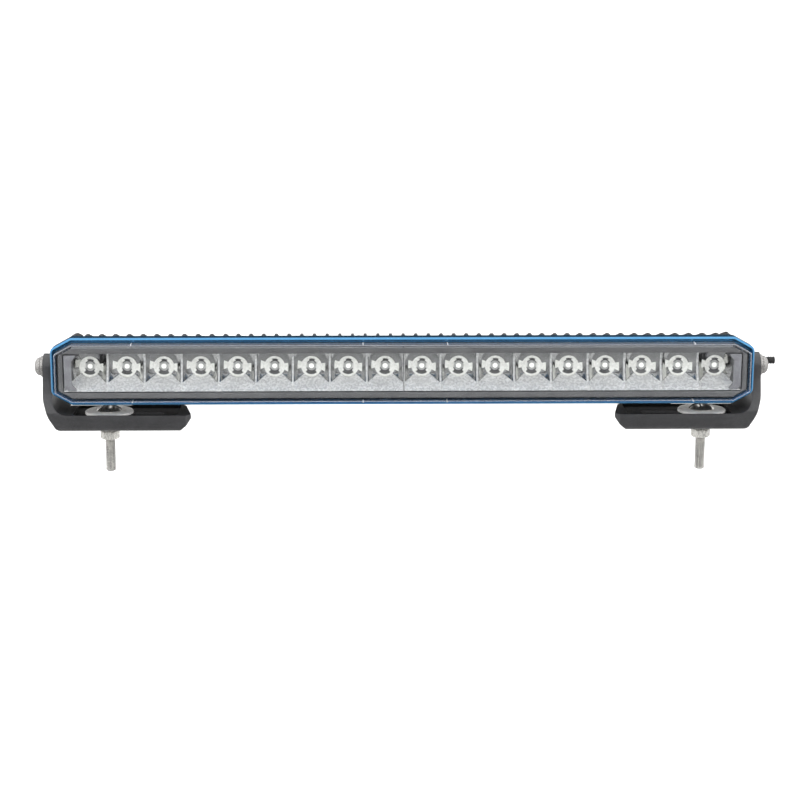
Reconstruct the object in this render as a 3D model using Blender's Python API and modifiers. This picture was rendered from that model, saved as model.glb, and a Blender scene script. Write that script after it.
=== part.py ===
"""A single-row LED light bar on two slotted L brackets, in metres.

The lamp shines along -Y, +X is on the right of somebody who looks at its lens, and +Z is up.
The origin lies on the plane of the feet's undersides, midway between them and straight below
the tilt axis. Pieces of the lamp are drawn about the tilt axis and hang from an empty on it,
and each set of mounting hardware hangs from an empty on its own bolt's axis.
"""

import math

import bmesh
import bpy
from mathutils import Matrix, Vector

GAP = 0.0003  # left between neighbouring pieces
ARC_STEPS = 2  # straight runs in each rounded corner of an outline
FILL_SCALE = 1000  # outlines are filled at this scale, since the fill loses millimetre detail
SIDES = {"left": -1, "right": 1}

# Lamp, measured from the tilt axis, which runs along X through the middle of its height.
AXIS_HEIGHT = 0.047
RING_HALF_LENGTH = 0.2682
RING_HALF_HEIGHT = 0.0260
CLIP_LENGTH = 0.0155  # what the ring's slanted corners take off its length and its height
CLIP_HEIGHT = 0.0086
CORNER_RADIUS = 0.0050
RING_FRONT = -0.0226
RING_REAR = -0.0126
RING_WALL = 0.0018

# The layers of the front, from the lens back to the floor of the housing.
LENS_FRONT = -0.0320
LENS_THICKNESS = 0.0030
LENS_INSET = 0.0042
LENS_CHAMFER = 0.0013
LENS_WALL = 0.0024
LIP_FRONT = -0.0200
LIP_INSET = 0.0039
FLANGE_THICKNESS = 0.0020
SEAL_FRONT = -0.0158
SEAL_THICKNESS = 0.0010
SPIGOT_FRONT = SEAL_FRONT + SEAL_THICKNESS + GAP
SPIGOT_INSET = RING_WALL + GAP
CAVITY_INSET = 0.0070
FLOOR_FRONT = -0.0063
FLOOR_REAR = -0.0013
CORE_INSET = 0.0050
HOUSING_FLANGE_REAR = -0.0090
HOUSING_FLANGE_INSET = 0.0008

# Optics and electronics.
CELL_PITCH = 0.0282
CELLS_PER_SIDE = 9
CELL_WALL = 0.0008
WINDOW_HALF_LENGTH = 0.2580
WINDOW_HALF_HEIGHT = 0.0149
WINDOW_CORNER = 0.0007
MASK_FRONT = -0.0282
MASK_THICKNESS = 0.0012
REFLECTOR_FRONT = -0.0276
SEAM_HALF_WIDTH = 0.0002  # between the two reflectors
BOARD_FRONT = -0.0090
BOARD_THICKNESS = 0.0016
BOARD_HALF_HEIGHT = 0.0164
BOARD_END = 0.2540
PAD_THICKNESS = 0.0005
LED_RISE = 0.0020  # the LEDs and the bowls' axes sit this far above the middle
LED_SIDE = 0.0050
LED_BASE = 0.0010
LED_DOME_RADIUS = 0.0020
BOWL_FOCUS = 0.0032
DRIVER_HALF_LENGTH = 0.0600
DRIVER_HALF_HEIGHT = 0.0110
DRIVER_REAR = 0.0120
DRIVER_WALL = 0.0020
DRIVER_BOARD_FRONT = 0.0084
DRIVER_PAD_GAP = 0.0030  # from the driver's pocket to the start of each thermal pad
CHOKE_PLACES = (-0.040, 0.010)
CHOKE_RADIUS = 0.0070
DRIVER_BLOCK_PLACES = (-0.020, 0.030)
DRIVER_BLOCK_LENGTH = 0.0120
DRIVER_BLOCK_HALF_HEIGHT = 0.0060
DRIVER_BLOCK_FRONT = 0.0020

# Cooling fins, in planes across the lamp.
FIN_THICKNESS = 0.0024
FIN_REAR = 0.0320
FIN_PITCH = 0.00975
FINS_EACH_SIDE = 14
OUTER_FIN_PITCH = 0.01054
OUTER_FINS_EACH_SIDE = 10
END_BLOCK_START = 0.2488
END_BLOCK_FACE = 0.2668
END_BLOCK_RISE = 0.0008
END_BLOCK_REAR_CHAMFER = 0.0100
END_BLOCK_CLIP = (0.0168, 0.0150)  # what its slanted corners take off its length and height

# Screws that pull the ring onto the lens, from behind the housing's flange.
RING_SCREW_PLACES = (0.03420, 0.21550)
RING_SCREW_INSET = 0.0026
RING_SCREW_RADIUS = 0.0008
RING_SCREW_HOLE = 0.00105
RING_SCREW_HEAD_RADIUS = 0.0020
RING_SCREW_HEAD = 0.0016

# Breather on the back, cable gland behind the right arm.
VENT_RADIUS = 0.0052
VENT_HEAD = 0.0028
VENT_STEM_RADIUS = 0.0030
VENT_STEM_FRONT = DRIVER_REAR + DRIVER_WALL + 0.002
VENT_BOSS_RADIUS = 0.0074
VENT_BOSS_REAR = 0.0284
GLAND_DEPTH = 0.0174
GLAND_ROOT = 0.2600
GLAND_COLLAR = 0.2848
GLAND_TIP = 0.2925
GLAND_BORE = 0.0020
GLAND_RADIUS = 0.0034
GLAND_FLANGE_RADIUS = 0.0060
GLAND_FLANGE = 0.0015
BOOT_RADIUS = 0.0029
BOOT_BORE = 0.0014

# Tilt pivots.
M8_RADIUS = 0.0040
M8_CLEARANCE = 0.00425
PIVOT_BOSS_RADIUS = 0.0110
PIVOT_BOSS_ROOT = 0.2550
PIVOT_BOSS_FACE = 0.2674
PIVOT_SPACER = 0.0010
PIVOT_SPACER_RADIUS = 0.0095
PIVOT_BOLT_END = 0.2500
PIVOT_WASHER = 0.0020
WASHER_RADIUS = 0.0080
BUTTON_RADIUS = 0.0070
BUTTON_HEIGHT = 0.0049
BUTTON_RIM = 0.0008
SOCKET_ACROSS_FLATS = 0.0050
SOCKET_DEPTH = 0.0025

# Brackets, measured from the plane of their undersides.
ARM_INNER = 0.2690
ARM_OUTER = 0.2762
ARM_TOP_RADIUS = 0.0100
FOOT_INNER_END = 0.1630
FOOT_HEIGHT = 0.0124
FOOT_HALF_DEPTH = 0.0206
CHANNEL_FLOOR = 0.0097
CHANNEL_INNER = 0.1730
CHANNEL_OUTER = 0.2535
CHANNEL_HALF_DEPTH = 0.0189
OPEN_RIM_INNER = 0.2120
OPEN_RIM_OUTER = 0.2600
OPEN_RIM_FLOOR = 0.0115
SLOT_INNER = 0.1854
SLOT_OUTER = 0.2420
SLOT_HALF_WIDTH = 0.0044
SLOT_END_STEPS = 6

# Mounting hardware: an M8 carriage bolt, head up, in each foot's slot.
MOUNT_BOLT_X = {"left": -0.2275, "right": 0.2330}
SLOT_WASHER_RADIUS = 0.0185
SLOT_WASHER = 0.0020
SLOT_WASHER_BORE = 0.0060
CARRIAGE_HEAD_RADIUS = 0.0100
CARRIAGE_HEAD_HEIGHT = 0.0046
NECK_HALF_SIDE = 0.0040
NECK_LENGTH = 0.0045
STUD_TIP = -0.0358
FLAT_WASHER = 0.0014
SPRING_WASHER = 0.0015
SPRING_WASHER_RADIUS = 0.0070
NUT_ACROSS_FLATS = 0.0130
NUT_HEIGHT = 0.0062

# Colour, roughness and metallic value of each finish.
FINISHES = {
    "black_casting": ((0.018, 0.018, 0.020), 0.48, 0.20),
    "black_bracket": ((0.022, 0.022, 0.023), 0.42, 0.10),
    "blue_anodised": ((0.030, 0.250, 0.620), 0.22, 0.85),
    "clear_polycarbonate": ((0.850, 0.880, 0.900), 0.05, 0.00),
    "chrome": ((0.820, 0.820, 0.810), 0.08, 1.00),
    "mask_grey": ((0.070, 0.070, 0.070), 0.45, 0.00),
    "stainless": ((0.560, 0.550, 0.530), 0.28, 1.00),
    "rubber": ((0.015, 0.015, 0.015), 0.75, 0.00),
    "circuit_board": ((0.600, 0.600, 0.580), 0.40, 0.00),
    "driver_green": ((0.020, 0.110, 0.040), 0.45, 0.00),
    "led_phosphor": ((0.880, 0.780, 0.280), 0.30, 0.00),
    "thermal_pad": ((0.350, 0.380, 0.420), 0.80, 0.00),
    "black_nylon": ((0.020, 0.020, 0.020), 0.55, 0.00),
}

# How an outline's two coordinates and its depth become x, y and z.
PLANES = {
    "XY": Matrix(((1, 0, 0, 0), (0, 1, 0, 0), (0, 0, 1, 0), (0, 0, 0, 1))),
    "XZ": Matrix(((1, 0, 0, 0), (0, 0, 1, 0), (0, 1, 0, 0), (0, 0, 0, 1))),
    "YZ": Matrix(((0, 0, 1, 0), (1, 0, 0, 0), (0, 1, 0, 0), (0, 0, 0, 1))),
}


# ---------------------------------------------------------------- scene and materials


def clear_scene():
    for obj in list(bpy.data.objects):
        bpy.data.objects.remove(obj, do_unlink=True)


def new_collection(name, helpers=False):
    collection = bpy.data.collections.new(name)
    collection.hide_render = helpers
    bpy.context.scene.collection.children.link(collection)
    return collection


def new_material(name):
    colour, roughness, metallic = FINISHES[name]
    material = bpy.data.materials.new(name)
    material.use_nodes = True
    shader = material.node_tree.nodes["Principled BSDF"]
    shader.inputs["Base Color"].default_value = (*colour, 1.0)
    shader.inputs["Roughness"].default_value = roughness
    shader.inputs["Metallic"].default_value = metallic
    return material


def new_empty(name, location):
    empty = bpy.data.objects.new(name, None)
    empty.location = location
    PARTS.objects.link(empty)
    return empty


# ---------------------------------------------------------------- shapes


def add_object(name, mesh, carrier=None):
    obj = bpy.data.objects.new(name, mesh)
    obj.parent = carrier
    PARTS.objects.link(obj)
    return obj


def object_from_bmesh(name, bm, carrier=None):
    bm.normal_update()
    bmesh.ops.recalc_face_normals(bm, faces=bm.faces)
    mesh = bpy.data.meshes.new(name)
    bm.to_mesh(mesh)
    bm.free()
    return add_object(name, mesh, carrier)


def rounded(corners, steps=ARC_STEPS):
    """A closed outline from (u, v) corners, or (u, v, radius) where the corner is an arc."""
    outline = []
    for i, (u, v, *radius) in enumerate(corners):
        corner = Vector((u, v))
        if not radius or radius[0] <= 0:
            outline.append(corner)
            continue
        before = (Vector(corners[i - 1][:2]) - corner).normalized()
        after = (Vector(corners[(i + 1) % len(corners)][:2]) - corner).normalized()
        half_angle = before.angle(after) / 2
        centre = corner + (before + after).normalized() * radius[0] / math.sin(half_angle)
        first = corner + before * radius[0] / math.tan(half_angle) - centre
        turn = math.copysign(math.pi - 2 * half_angle, before.cross(after) * -1)
        for step in range(steps + 1):
            spoke = Matrix.Rotation(turn * step / steps, 2) @ first
            outline.append(centre + spoke)
    return outline


def rectangle(low_u, high_u, low_v, high_v, radius=0.0, steps=ARC_STEPS):
    corners = ((low_u, low_v), (high_u, low_v), (high_u, high_v), (low_u, high_v))
    return rounded([(u, v, radius) for u, v in corners], steps)


def prism(name, plane, outline, span, carrier=None, holes=()):
    """The outline, with any holes, swept along the plane's normal from span[0] to span[1]."""
    curve = bpy.data.curves.new(name, "CURVE")
    curve.dimensions = "2D"
    curve.fill_mode = "BOTH"
    curve.extrude = FILL_SCALE * (span[1] - span[0]) / 2
    for loop in (outline, *holes):
        spline = curve.splines.new("POLY")
        spline.points.add(len(loop) - 1)
        spline.use_cyclic_u = True
        for point, (u, v) in zip(spline.points, loop):
            point.co = (FILL_SCALE * u, FILL_SCALE * v, 0, 1)
    guide = add_object(name + "_guide", curve)
    graph = bpy.context.evaluated_depsgraph_get()
    mesh = bpy.data.meshes.new_from_object(guide.evaluated_get(graph))
    bm = bmesh.new()
    bm.from_mesh(mesh)
    bmesh.ops.remove_doubles(bm, verts=bm.verts, dist=1e-3)
    if not holes:
        bmesh.ops.dissolve_limit(bm, angle_limit=1e-3, verts=bm.verts, edges=bm.edges)
    bm.transform(Matrix.Diagonal((1 / FILL_SCALE, 1 / FILL_SCALE, 1 / FILL_SCALE, 1)))
    bm.transform(PLANES[plane] @ Matrix.Translation((0, 0, (span[0] + span[1]) / 2)))
    bpy.data.objects.remove(guide)
    bpy.data.curves.remove(curve)
    bpy.data.meshes.remove(mesh)
    return object_from_bmesh(name, bm, carrier)


def box(name, low, high, carrier=None):
    bm = bmesh.new()
    bmesh.ops.create_cube(bm, size=1.0)
    middle = (Vector(low) + Vector(high)) / 2
    size = Vector(high) - Vector(low)
    bm.transform(Matrix.Translation(middle) @ Matrix.Diagonal((*size, 1.0)))
    return object_from_bmesh(name, bm, carrier)


def cylinder(name, axis, centre, radius, span, carrier=None, segments=16, turn=0.0):
    """A cylinder along X, Y or Z through centre, from span[0] to span[1] on that axis."""
    bm = bmesh.new()
    bmesh.ops.create_cone(
        bm,
        cap_ends=True,
        segments=segments,
        radius1=radius,
        radius2=radius,
        depth=span[1] - span[0],
    )
    to_axis = {
        "X": Matrix.Rotation(math.pi / 2, 4, "Y"),
        "Y": Matrix.Rotation(math.pi / 2, 4, "X"),
        "Z": Matrix.Identity(4),
    }[axis]
    place = Vector(centre)
    place["XYZ".index(axis)] = (span[0] + span[1]) / 2
    bm.transform(Matrix.Translation(place) @ to_axis @ Matrix.Rotation(turn, 4, "Z"))
    return object_from_bmesh(name, bm, carrier)


def turned(name, profile, carrier=None, segments=16, ring=False):
    """A profile of (radius, height) pairs, listed top to bottom, turned about local Z."""
    mesh = bpy.data.meshes.new(name)
    edges = [(i, i + 1) for i in range(len(profile) - 1)]
    if ring:
        edges.append((len(profile) - 1, 0))
    mesh.from_pydata([(radius, 0, height) for radius, height in profile], edges, [])
    obj = add_object(name, mesh, carrier)
    screw = obj.modifiers.new("turn", "SCREW")
    screw.steps = segments
    screw.render_steps = segments
    screw.use_merge_vertices = True
    screw.merge_threshold = 1e-6
    return obj


def swept(name, section, carrier=None, ring=False):
    """A section of (inset, y) points carried round the lamp's outline.

    A ring's section is a closed loop. Otherwise the first and last points bound flat ends.
    """
    bm = bmesh.new()
    loops = [[bm.verts.new((u, y, v)) for u, v in lamp_outline(inset)] for inset, y in section]
    pairs = list(zip(loops, loops[1:] + loops[:1])) if ring else list(zip(loops, loops[1:]))
    for near, far in pairs:
        for i in range(len(near)):
            bm.faces.new((near[i - 1], near[i], far[i], far[i - 1]))
    if not ring:
        bm.faces.new(loops[0])
        bm.faces.new(loops[-1])
    return object_from_bmesh(name, bm, carrier)


def washer_profile(bore, radius, top, thickness):
    """A flat ring's section, down its outer side and back up its bore."""
    bottom = top - thickness
    return [(bore, top), (radius, top), (radius, bottom), (bore, bottom)]


def gather(name, pieces, carrier=None):
    """One mesh from several helper objects that don't touch each other."""
    bm = bmesh.new()
    for piece in pieces:
        bm.from_mesh(piece.data)
        bpy.data.objects.remove(piece)
    return object_from_bmesh(name, bm, carrier)


def combine(target, operation, *operands):
    """Adds a Boolean to target for each operand, which becomes a hidden helper."""
    for operand in operands:
        modifier = target.modifiers.new(operand.name, "BOOLEAN")
        modifier.operation = operation
        modifier.object = operand
        PARTS.objects.unlink(operand)
        CUTTERS.objects.link(operand)
        operand.hide_render = True
        operand.display_type = "WIRE"
    return target


def bake(obj):
    """Replaces an object's mesh and modifiers by the shape that they give, for its copies."""
    graph = bpy.context.evaluated_depsgraph_get()
    mesh = bpy.data.meshes.new_from_object(obj.evaluated_get(graph))
    obj.modifiers.clear()
    obj.data = mesh
    return obj


def copy_of(obj, name, location):
    """A second object on the same mesh, under the same carrier."""
    twin = add_object(name, obj.data, obj.parent)
    twin.rotation_euler = obj.rotation_euler
    twin.location = location
    return twin


def finish(obj, finish_name):
    obj.data.materials.clear()
    obj.data.materials.append(MATERIALS[finish_name])
    if obj.data.polygons:
        obj.data.shade_smooth()
        obj.data.set_sharp_from_angle(angle=math.radians(30))
    return obj


# ---------------------------------------------------------------- lamp: casing


def lamp_outline(inset):
    """The lamp's front outline, a rectangle with slanted corners, drawn in by inset."""
    slant = math.hypot(CLIP_LENGTH, CLIP_HEIGHT)
    closing = inset * (CLIP_LENGTH + CLIP_HEIGHT - slant)
    u = RING_HALF_LENGTH - inset
    v = RING_HALF_HEIGHT - inset
    u_clip = u - CLIP_LENGTH + closing / CLIP_HEIGHT
    v_clip = v - CLIP_HEIGHT + closing / CLIP_LENGTH
    radius = max(CORNER_RADIUS - inset, 0.0012)
    quarter = [(u, v_clip), (u_clip, v)]
    top = quarter + [(-a, b) for a, b in reversed(quarter)]
    bottom = [(-a, -b) for a, b in top]
    return rounded([(a, b, radius) for a, b in top + bottom])


def fin_outline(rise=0.0):
    """A fin's edge from the ring's back over the top to the rear, mirrored below."""
    upper = [
        (HOUSING_FLANGE_REAR - 0.001, 0.0261 + rise),
        (0.0, 0.0253 + rise),
        (0.0200 + rise, 0.0200 + rise),
        (FIN_REAR + rise, 0.0115, 0.004),
    ]
    lower = [(y, -z, *radius) for y, z, *radius in reversed(upper)]
    return rounded(upper + lower)


def fin_places():
    """The fins' positions along the bar: one in the middle, then outwards at two pitches."""
    outwards = [FIN_PITCH * i for i in range(1, FINS_EACH_SIDE + 1)]
    last = outwards[-1]
    outwards += [last + OUTER_FIN_PITCH * i for i in range(1, OUTER_FINS_EACH_SIDE + 1)]
    return [-x for x in reversed(outwards)] + [0.0] + outwards


def make_fins(lamp):
    half = FIN_THICKNESS / 2
    fins = [prism("fin", "YZ", fin_outline(), (x - half, x + half)) for x in fin_places()]
    return gather("housing_fins", fins, lamp)


def make_end_block(lamp, side):
    """The solid end that carries the pivot: where its front, side and plan outlines meet."""
    sign = SIDES[side]
    span = sorted((sign * END_BLOCK_START, sign * END_BLOCK_FACE))
    block = prism(f"{side}_end_block", "YZ", fin_outline(END_BLOCK_RISE), span, lamp)
    start = END_BLOCK_START - 0.005
    clip_length, clip_height = END_BLOCK_CLIP
    upper = [
        (sign * start, RING_HALF_HEIGHT + 0.002),
        (sign * (END_BLOCK_FACE - clip_length), RING_HALF_HEIGHT + END_BLOCK_RISE, 0.003),
        (sign * END_BLOCK_FACE, RING_HALF_HEIGHT + END_BLOCK_RISE - clip_height, 0.003),
    ]
    lower = [(x, -z, *radius) for x, z, *radius in reversed(upper)]
    front = prism(f"{side}_end_front", "XZ", rounded(upper + lower), (-0.02, 0.05), lamp)
    rear = FIN_REAR + END_BLOCK_RISE
    cut = END_BLOCK_REAR_CHAMFER
    plan = rounded(
        [
            (sign * start, -0.02),
            (sign * END_BLOCK_FACE, -0.02),
            (sign * END_BLOCK_FACE, rear - cut, 0.003),
            (sign * (END_BLOCK_FACE - cut), rear, 0.003),
            (sign * start, rear),
        ]
    )
    over = prism(f"{side}_end_plan", "XY", plan, (-0.03, 0.03), lamp)
    return bake(combine(block, "INTERSECT", front, over))


def make_housing(lamp):
    housing = swept(
        "housing",
        [
            (SPIGOT_INSET, SPIGOT_FRONT),
            (SPIGOT_INSET, RING_REAR + GAP),
            (HOUSING_FLANGE_INSET, RING_REAR + GAP),
            (HOUSING_FLANGE_INSET, HOUSING_FLANGE_REAR),
            (CORE_INSET, HOUSING_FLANGE_REAR),
            (CORE_INSET, FLOOR_REAR),
        ],
        lamp,
    )
    driver_shell = box(
        "driver_shell",
        (-DRIVER_HALF_LENGTH - DRIVER_WALL, -0.003, -DRIVER_HALF_HEIGHT - DRIVER_WALL),
        (
            DRIVER_HALF_LENGTH + DRIVER_WALL,
            DRIVER_REAR + DRIVER_WALL,
            DRIVER_HALF_HEIGHT + DRIVER_WALL,
        ),
        lamp,
    )
    combine(housing, "UNION", make_fins(lamp), driver_shell)
    for side, sign in SIDES.items():
        boss = cylinder(
            f"{side}_pivot_boss",
            "X",
            (0, 0, 0),
            PIVOT_BOSS_RADIUS,
            sorted((sign * PIVOT_BOSS_ROOT, sign * PIVOT_BOSS_FACE)),
            lamp,
        )
        combine(housing, "UNION", make_end_block(lamp, side), boss)
    vent_boss = cylinder(
        "vent_boss", "Y", (0, 0, 0), VENT_BOSS_RADIUS, (DRIVER_REAR, VENT_BOSS_REAR), lamp
    )
    combine(housing, "UNION", vent_boss)

    cavity = prism("cavity", "XZ", lamp_outline(CAVITY_INSET), (-0.030, FLOOR_FRONT), lamp)
    pocket = box(
        "driver_pocket",
        (-DRIVER_HALF_LENGTH, FLOOR_FRONT - 0.001, -DRIVER_HALF_HEIGHT),
        (DRIVER_HALF_LENGTH, DRIVER_REAR, DRIVER_HALF_HEIGHT),
        lamp,
    )
    vent_recess = cylinder(
        "vent_recess", "Y", (0, 0, 0), VENT_BOSS_RADIUS + 0.0006, (VENT_BOSS_REAR, 0.04), lamp
    )
    vent_bore = cylinder(
        "vent_bore",
        "Y",
        (0, 0, 0),
        VENT_STEM_RADIUS + GAP,
        (DRIVER_REAR - 0.002, VENT_BOSS_REAR + 0.002),
        lamp,
    )
    gland_bore = cylinder(
        "gland_bore",
        "X",
        (0, GLAND_DEPTH, 0),
        GLAND_RADIUS + GAP,
        (GLAND_ROOT - 0.010, END_BLOCK_FACE + 0.010),
        lamp,
    )
    combine(housing, "DIFFERENCE", cavity, pocket, vent_recess, vent_bore, gland_bore)
    for side, sign in SIDES.items():
        bore = cylinder(
            f"{side}_pivot_bore",
            "X",
            (0, 0, 0),
            M8_CLEARANCE,
            sorted((sign * (PIVOT_BOLT_END - 0.001), sign * (PIVOT_BOSS_FACE + 0.010))),
            lamp,
        )
        combine(housing, "DIFFERENCE", bore)
    screw_holes = [
        cylinder(
            "screw_hole",
            "Y",
            (x, 0, z),
            RING_SCREW_HOLE,
            (SPIGOT_FRONT - 0.003, HOUSING_FLANGE_REAR + 0.009),
            segments=12,
        )
        for x, z in ring_screw_places()
    ]
    combine(housing, "DIFFERENCE", gather("flange_screw_holes", screw_holes, lamp))
    return finish(housing, "black_casting")


def ring_screw_places():
    height = RING_HALF_HEIGHT - RING_SCREW_INSET
    return [
        (sign_x * x, sign_z * height)
        for sign_z in (1, -1)
        for sign_x in (-1, 1)
        for x in RING_SCREW_PLACES
    ]


def make_trim_ring(lamp):
    lip_rear = SEAL_FRONT - GAP - FLANGE_THICKNESS - GAP
    ring = swept(
        "trim_ring",
        [
            (0.0, RING_REAR),
            (0.0, RING_FRONT),
            (RING_WALL, RING_FRONT),
            (RING_WALL, LIP_FRONT),
            (LIP_INSET, LIP_FRONT),
            (LIP_INSET, lip_rear),
            (RING_WALL, lip_rear),
            (RING_WALL, RING_REAR),
        ],
        lamp,
        ring=True,
    )
    holes = [
        cylinder(
            "tapped_hole",
            "Y",
            (x, 0, z),
            RING_SCREW_HOLE,
            (LIP_FRONT + 0.0004, lip_rear + 0.003),
            segments=12,
        )
        for x, z in ring_screw_places()
    ]
    combine(ring, "DIFFERENCE", gather("tapped_holes", holes, lamp))
    return finish(ring, "blue_anodised")


def make_lens(lamp):
    """A tray with its face forward and a flange that the ring clamps."""
    flange_rear = SEAL_FRONT - GAP
    flange_front = flange_rear - FLANGE_THICKNESS
    inner = LENS_INSET + LENS_WALL
    lens = swept(
        "lens",
        [
            (LENS_INSET + LENS_CHAMFER, LENS_FRONT),
            (LENS_INSET, LENS_FRONT + LENS_CHAMFER),
            (LENS_INSET, flange_front),
            (SPIGOT_INSET, flange_front),
            (SPIGOT_INSET, flange_rear),
            (inner, flange_rear),
            (inner, LENS_FRONT + LENS_THICKNESS),
        ],
        lamp,
    )
    holes = [
        cylinder(
            "lens_hole",
            "Y",
            (x, 0, z),
            RING_SCREW_HOLE,
            (flange_front - 0.0010, flange_rear + 0.003),
            segments=12,
        )
        for x, z in ring_screw_places()
    ]
    combine(lens, "DIFFERENCE", gather("lens_screw_holes", holes, lamp))
    return finish(lens, "clear_polycarbonate")


def make_lens_seal(lamp):
    outer = RING_SCREW_INSET + RING_SCREW_HOLE + GAP
    inner = CAVITY_INSET - 0.0004
    rear = SEAL_FRONT + SEAL_THICKNESS
    section = [(outer, rear), (outer, SEAL_FRONT), (inner, SEAL_FRONT), (inner, rear)]
    seal = swept("lens_seal", section, lamp, ring=True)
    return finish(seal, "rubber")


def make_ring_screws(lamp):
    """Screws through the flange into the ring's lip, heads to the rear."""
    head_front = HOUSING_FLANGE_REAR + GAP
    tip = LIP_FRONT + 0.0008
    profile = [
        (0.0, head_front + RING_SCREW_HEAD),
        (RING_SCREW_HEAD_RADIUS * 0.7, head_front + RING_SCREW_HEAD),
        (RING_SCREW_HEAD_RADIUS, head_front + RING_SCREW_HEAD * 0.5),
        (RING_SCREW_HEAD_RADIUS, head_front),
        (RING_SCREW_RADIUS, head_front),
        (RING_SCREW_RADIUS, tip),
        (0.0, tip),
    ]
    first = None
    for number, (x, z) in enumerate(ring_screw_places(), 1):
        name = f"ring_screw_{number}"
        if first is None:
            first = bake(turned(name, profile, lamp, segments=8))
            first.rotation_euler.x = -math.pi / 2
            first.location = (x, 0, z)
            finish(first, "stainless")
        else:
            copy_of(first, name, (x, 0, z))


# ---------------------------------------------------------------- lamp: optics and electronics


def cell_places(side):
    return [SIDES[side] * CELL_PITCH * (i + 0.5) for i in range(CELLS_PER_SIDE)]


def make_reflector_mask(lamp):
    mask = prism(
        "reflector_mask",
        "XZ",
        lamp_outline(LENS_INSET + LENS_WALL + GAP),
        (MASK_FRONT, MASK_FRONT + MASK_THICKNESS),
        lamp,
        holes=[
            rectangle(
                -WINDOW_HALF_LENGTH,
                WINDOW_HALF_LENGTH,
                -WINDOW_HALF_HEIGHT,
                WINDOW_HALF_HEIGHT,
                WINDOW_CORNER,
            )
        ],
    )
    return finish(mask, "mask_grey")


def make_bowl(lamp, x):
    """What one bowl takes out of a reflector: a paraboloid trimmed to its cell."""
    focus_y = BOARD_FRONT - GAP - LED_BASE
    vertex_y = focus_y + BOWL_FOCUS
    rear_y = BOARD_FRONT
    depths = [rear_y + (REFLECTOR_FRONT - 0.001 - rear_y) * i / 3 for i in range(4)]
    # Local Z runs forward, so the bowl's mouth is the top of the profile.
    rims = [
        (math.sqrt(4 * BOWL_FOCUS * (vertex_y - y)), -y) for y in reversed(depths)
    ]
    profile = [(0.0, rims[0][1]), *rims, (0.0, rims[-1][1])]
    bowl = turned("bowl", profile, lamp, segments=12)
    bowl.rotation_euler.x = math.pi / 2
    bowl.location = (x, 0, LED_RISE)
    half = CELL_PITCH / 2 - CELL_WALL / 2
    height = WINDOW_HALF_HEIGHT - GAP - CELL_WALL
    cell = box("cell", (x - half, -0.030, -height), (x + half, 0.0, height), lamp)
    combine(bowl, "INTERSECT", cell)
    graph = bpy.context.evaluated_depsgraph_get()
    mesh = bpy.data.meshes.new_from_object(bowl.evaluated_get(graph))
    mesh.transform(Matrix.Translation(bowl.location) @ bowl.rotation_euler.to_matrix().to_4x4())
    bpy.data.objects.remove(bowl)
    bpy.data.objects.remove(cell)
    return add_object("bowl", mesh)


def make_reflector(lamp, side):
    sign = SIDES[side]
    outer = WINDOW_HALF_LENGTH - GAP
    height = WINDOW_HALF_HEIGHT - GAP
    low_x, high_x = sorted((sign * SEAM_HALF_WIDTH, sign * outer))
    reflector = box(
        f"reflector_{side}",
        (low_x, REFLECTOR_FRONT, -height),
        (high_x, BOARD_FRONT - GAP, height),
        lamp,
    )
    bowls = gather(f"{side}_bowls", [make_bowl(lamp, x) for x in cell_places(side)], lamp)
    combine(reflector, "DIFFERENCE", bowls)
    return finish(reflector, "chrome")


def make_leds(lamp):
    """One emitter on each cell's axis: a square base with a dome."""
    base_rear = BOARD_FRONT - GAP
    base_front = base_rear - LED_BASE
    half = LED_SIDE / 2
    led = box("led_01", (-half, base_front, -half), (half, base_rear, half), lamp)
    dome = turned(
        "led_dome",
        [
            (
                LED_DOME_RADIUS * math.sin(angle),
                -base_front + LED_DOME_RADIUS * math.cos(angle),
            )
            for angle in (0.0, math.pi / 6, math.pi / 3, math.pi / 2)
        ]
        + [(LED_DOME_RADIUS * 0.9, -base_front - 0.0005), (0.0, -base_front - 0.0005)],
        lamp,
        segments=10,
    )
    dome.rotation_euler.x = math.pi / 2
    bake(combine(led, "UNION", dome))
    finish(led, "led_phosphor")
    places = sorted(cell_places("left") + cell_places("right"))
    led.location = (places[0], 0, LED_RISE)
    for number, x in enumerate(places[1:], 2):
        copy_of(led, f"led_{number:02d}", (x, 0, LED_RISE))


def make_led_board(lamp, side):
    sign = SIDES[side]
    low_x, high_x = sorted((sign * GAP, sign * BOARD_END))
    board = box(
        f"led_board_{side}",
        (low_x, BOARD_FRONT, -BOARD_HALF_HEIGHT),
        (high_x, BOARD_FRONT + BOARD_THICKNESS, BOARD_HALF_HEIGHT),
        lamp,
    )
    pad_front = BOARD_FRONT + BOARD_THICKNESS + GAP
    pad_start = DRIVER_HALF_LENGTH + DRIVER_PAD_GAP
    pad_low, pad_high = sorted((sign * pad_start, sign * BOARD_END))
    pad = box(
        f"thermal_pad_{side}",
        (pad_low, pad_front, -BOARD_HALF_HEIGHT),
        (pad_high, pad_front + PAD_THICKNESS, BOARD_HALF_HEIGHT),
        lamp,
    )
    finish(board, "circuit_board")
    finish(pad, "thermal_pad")


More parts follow.
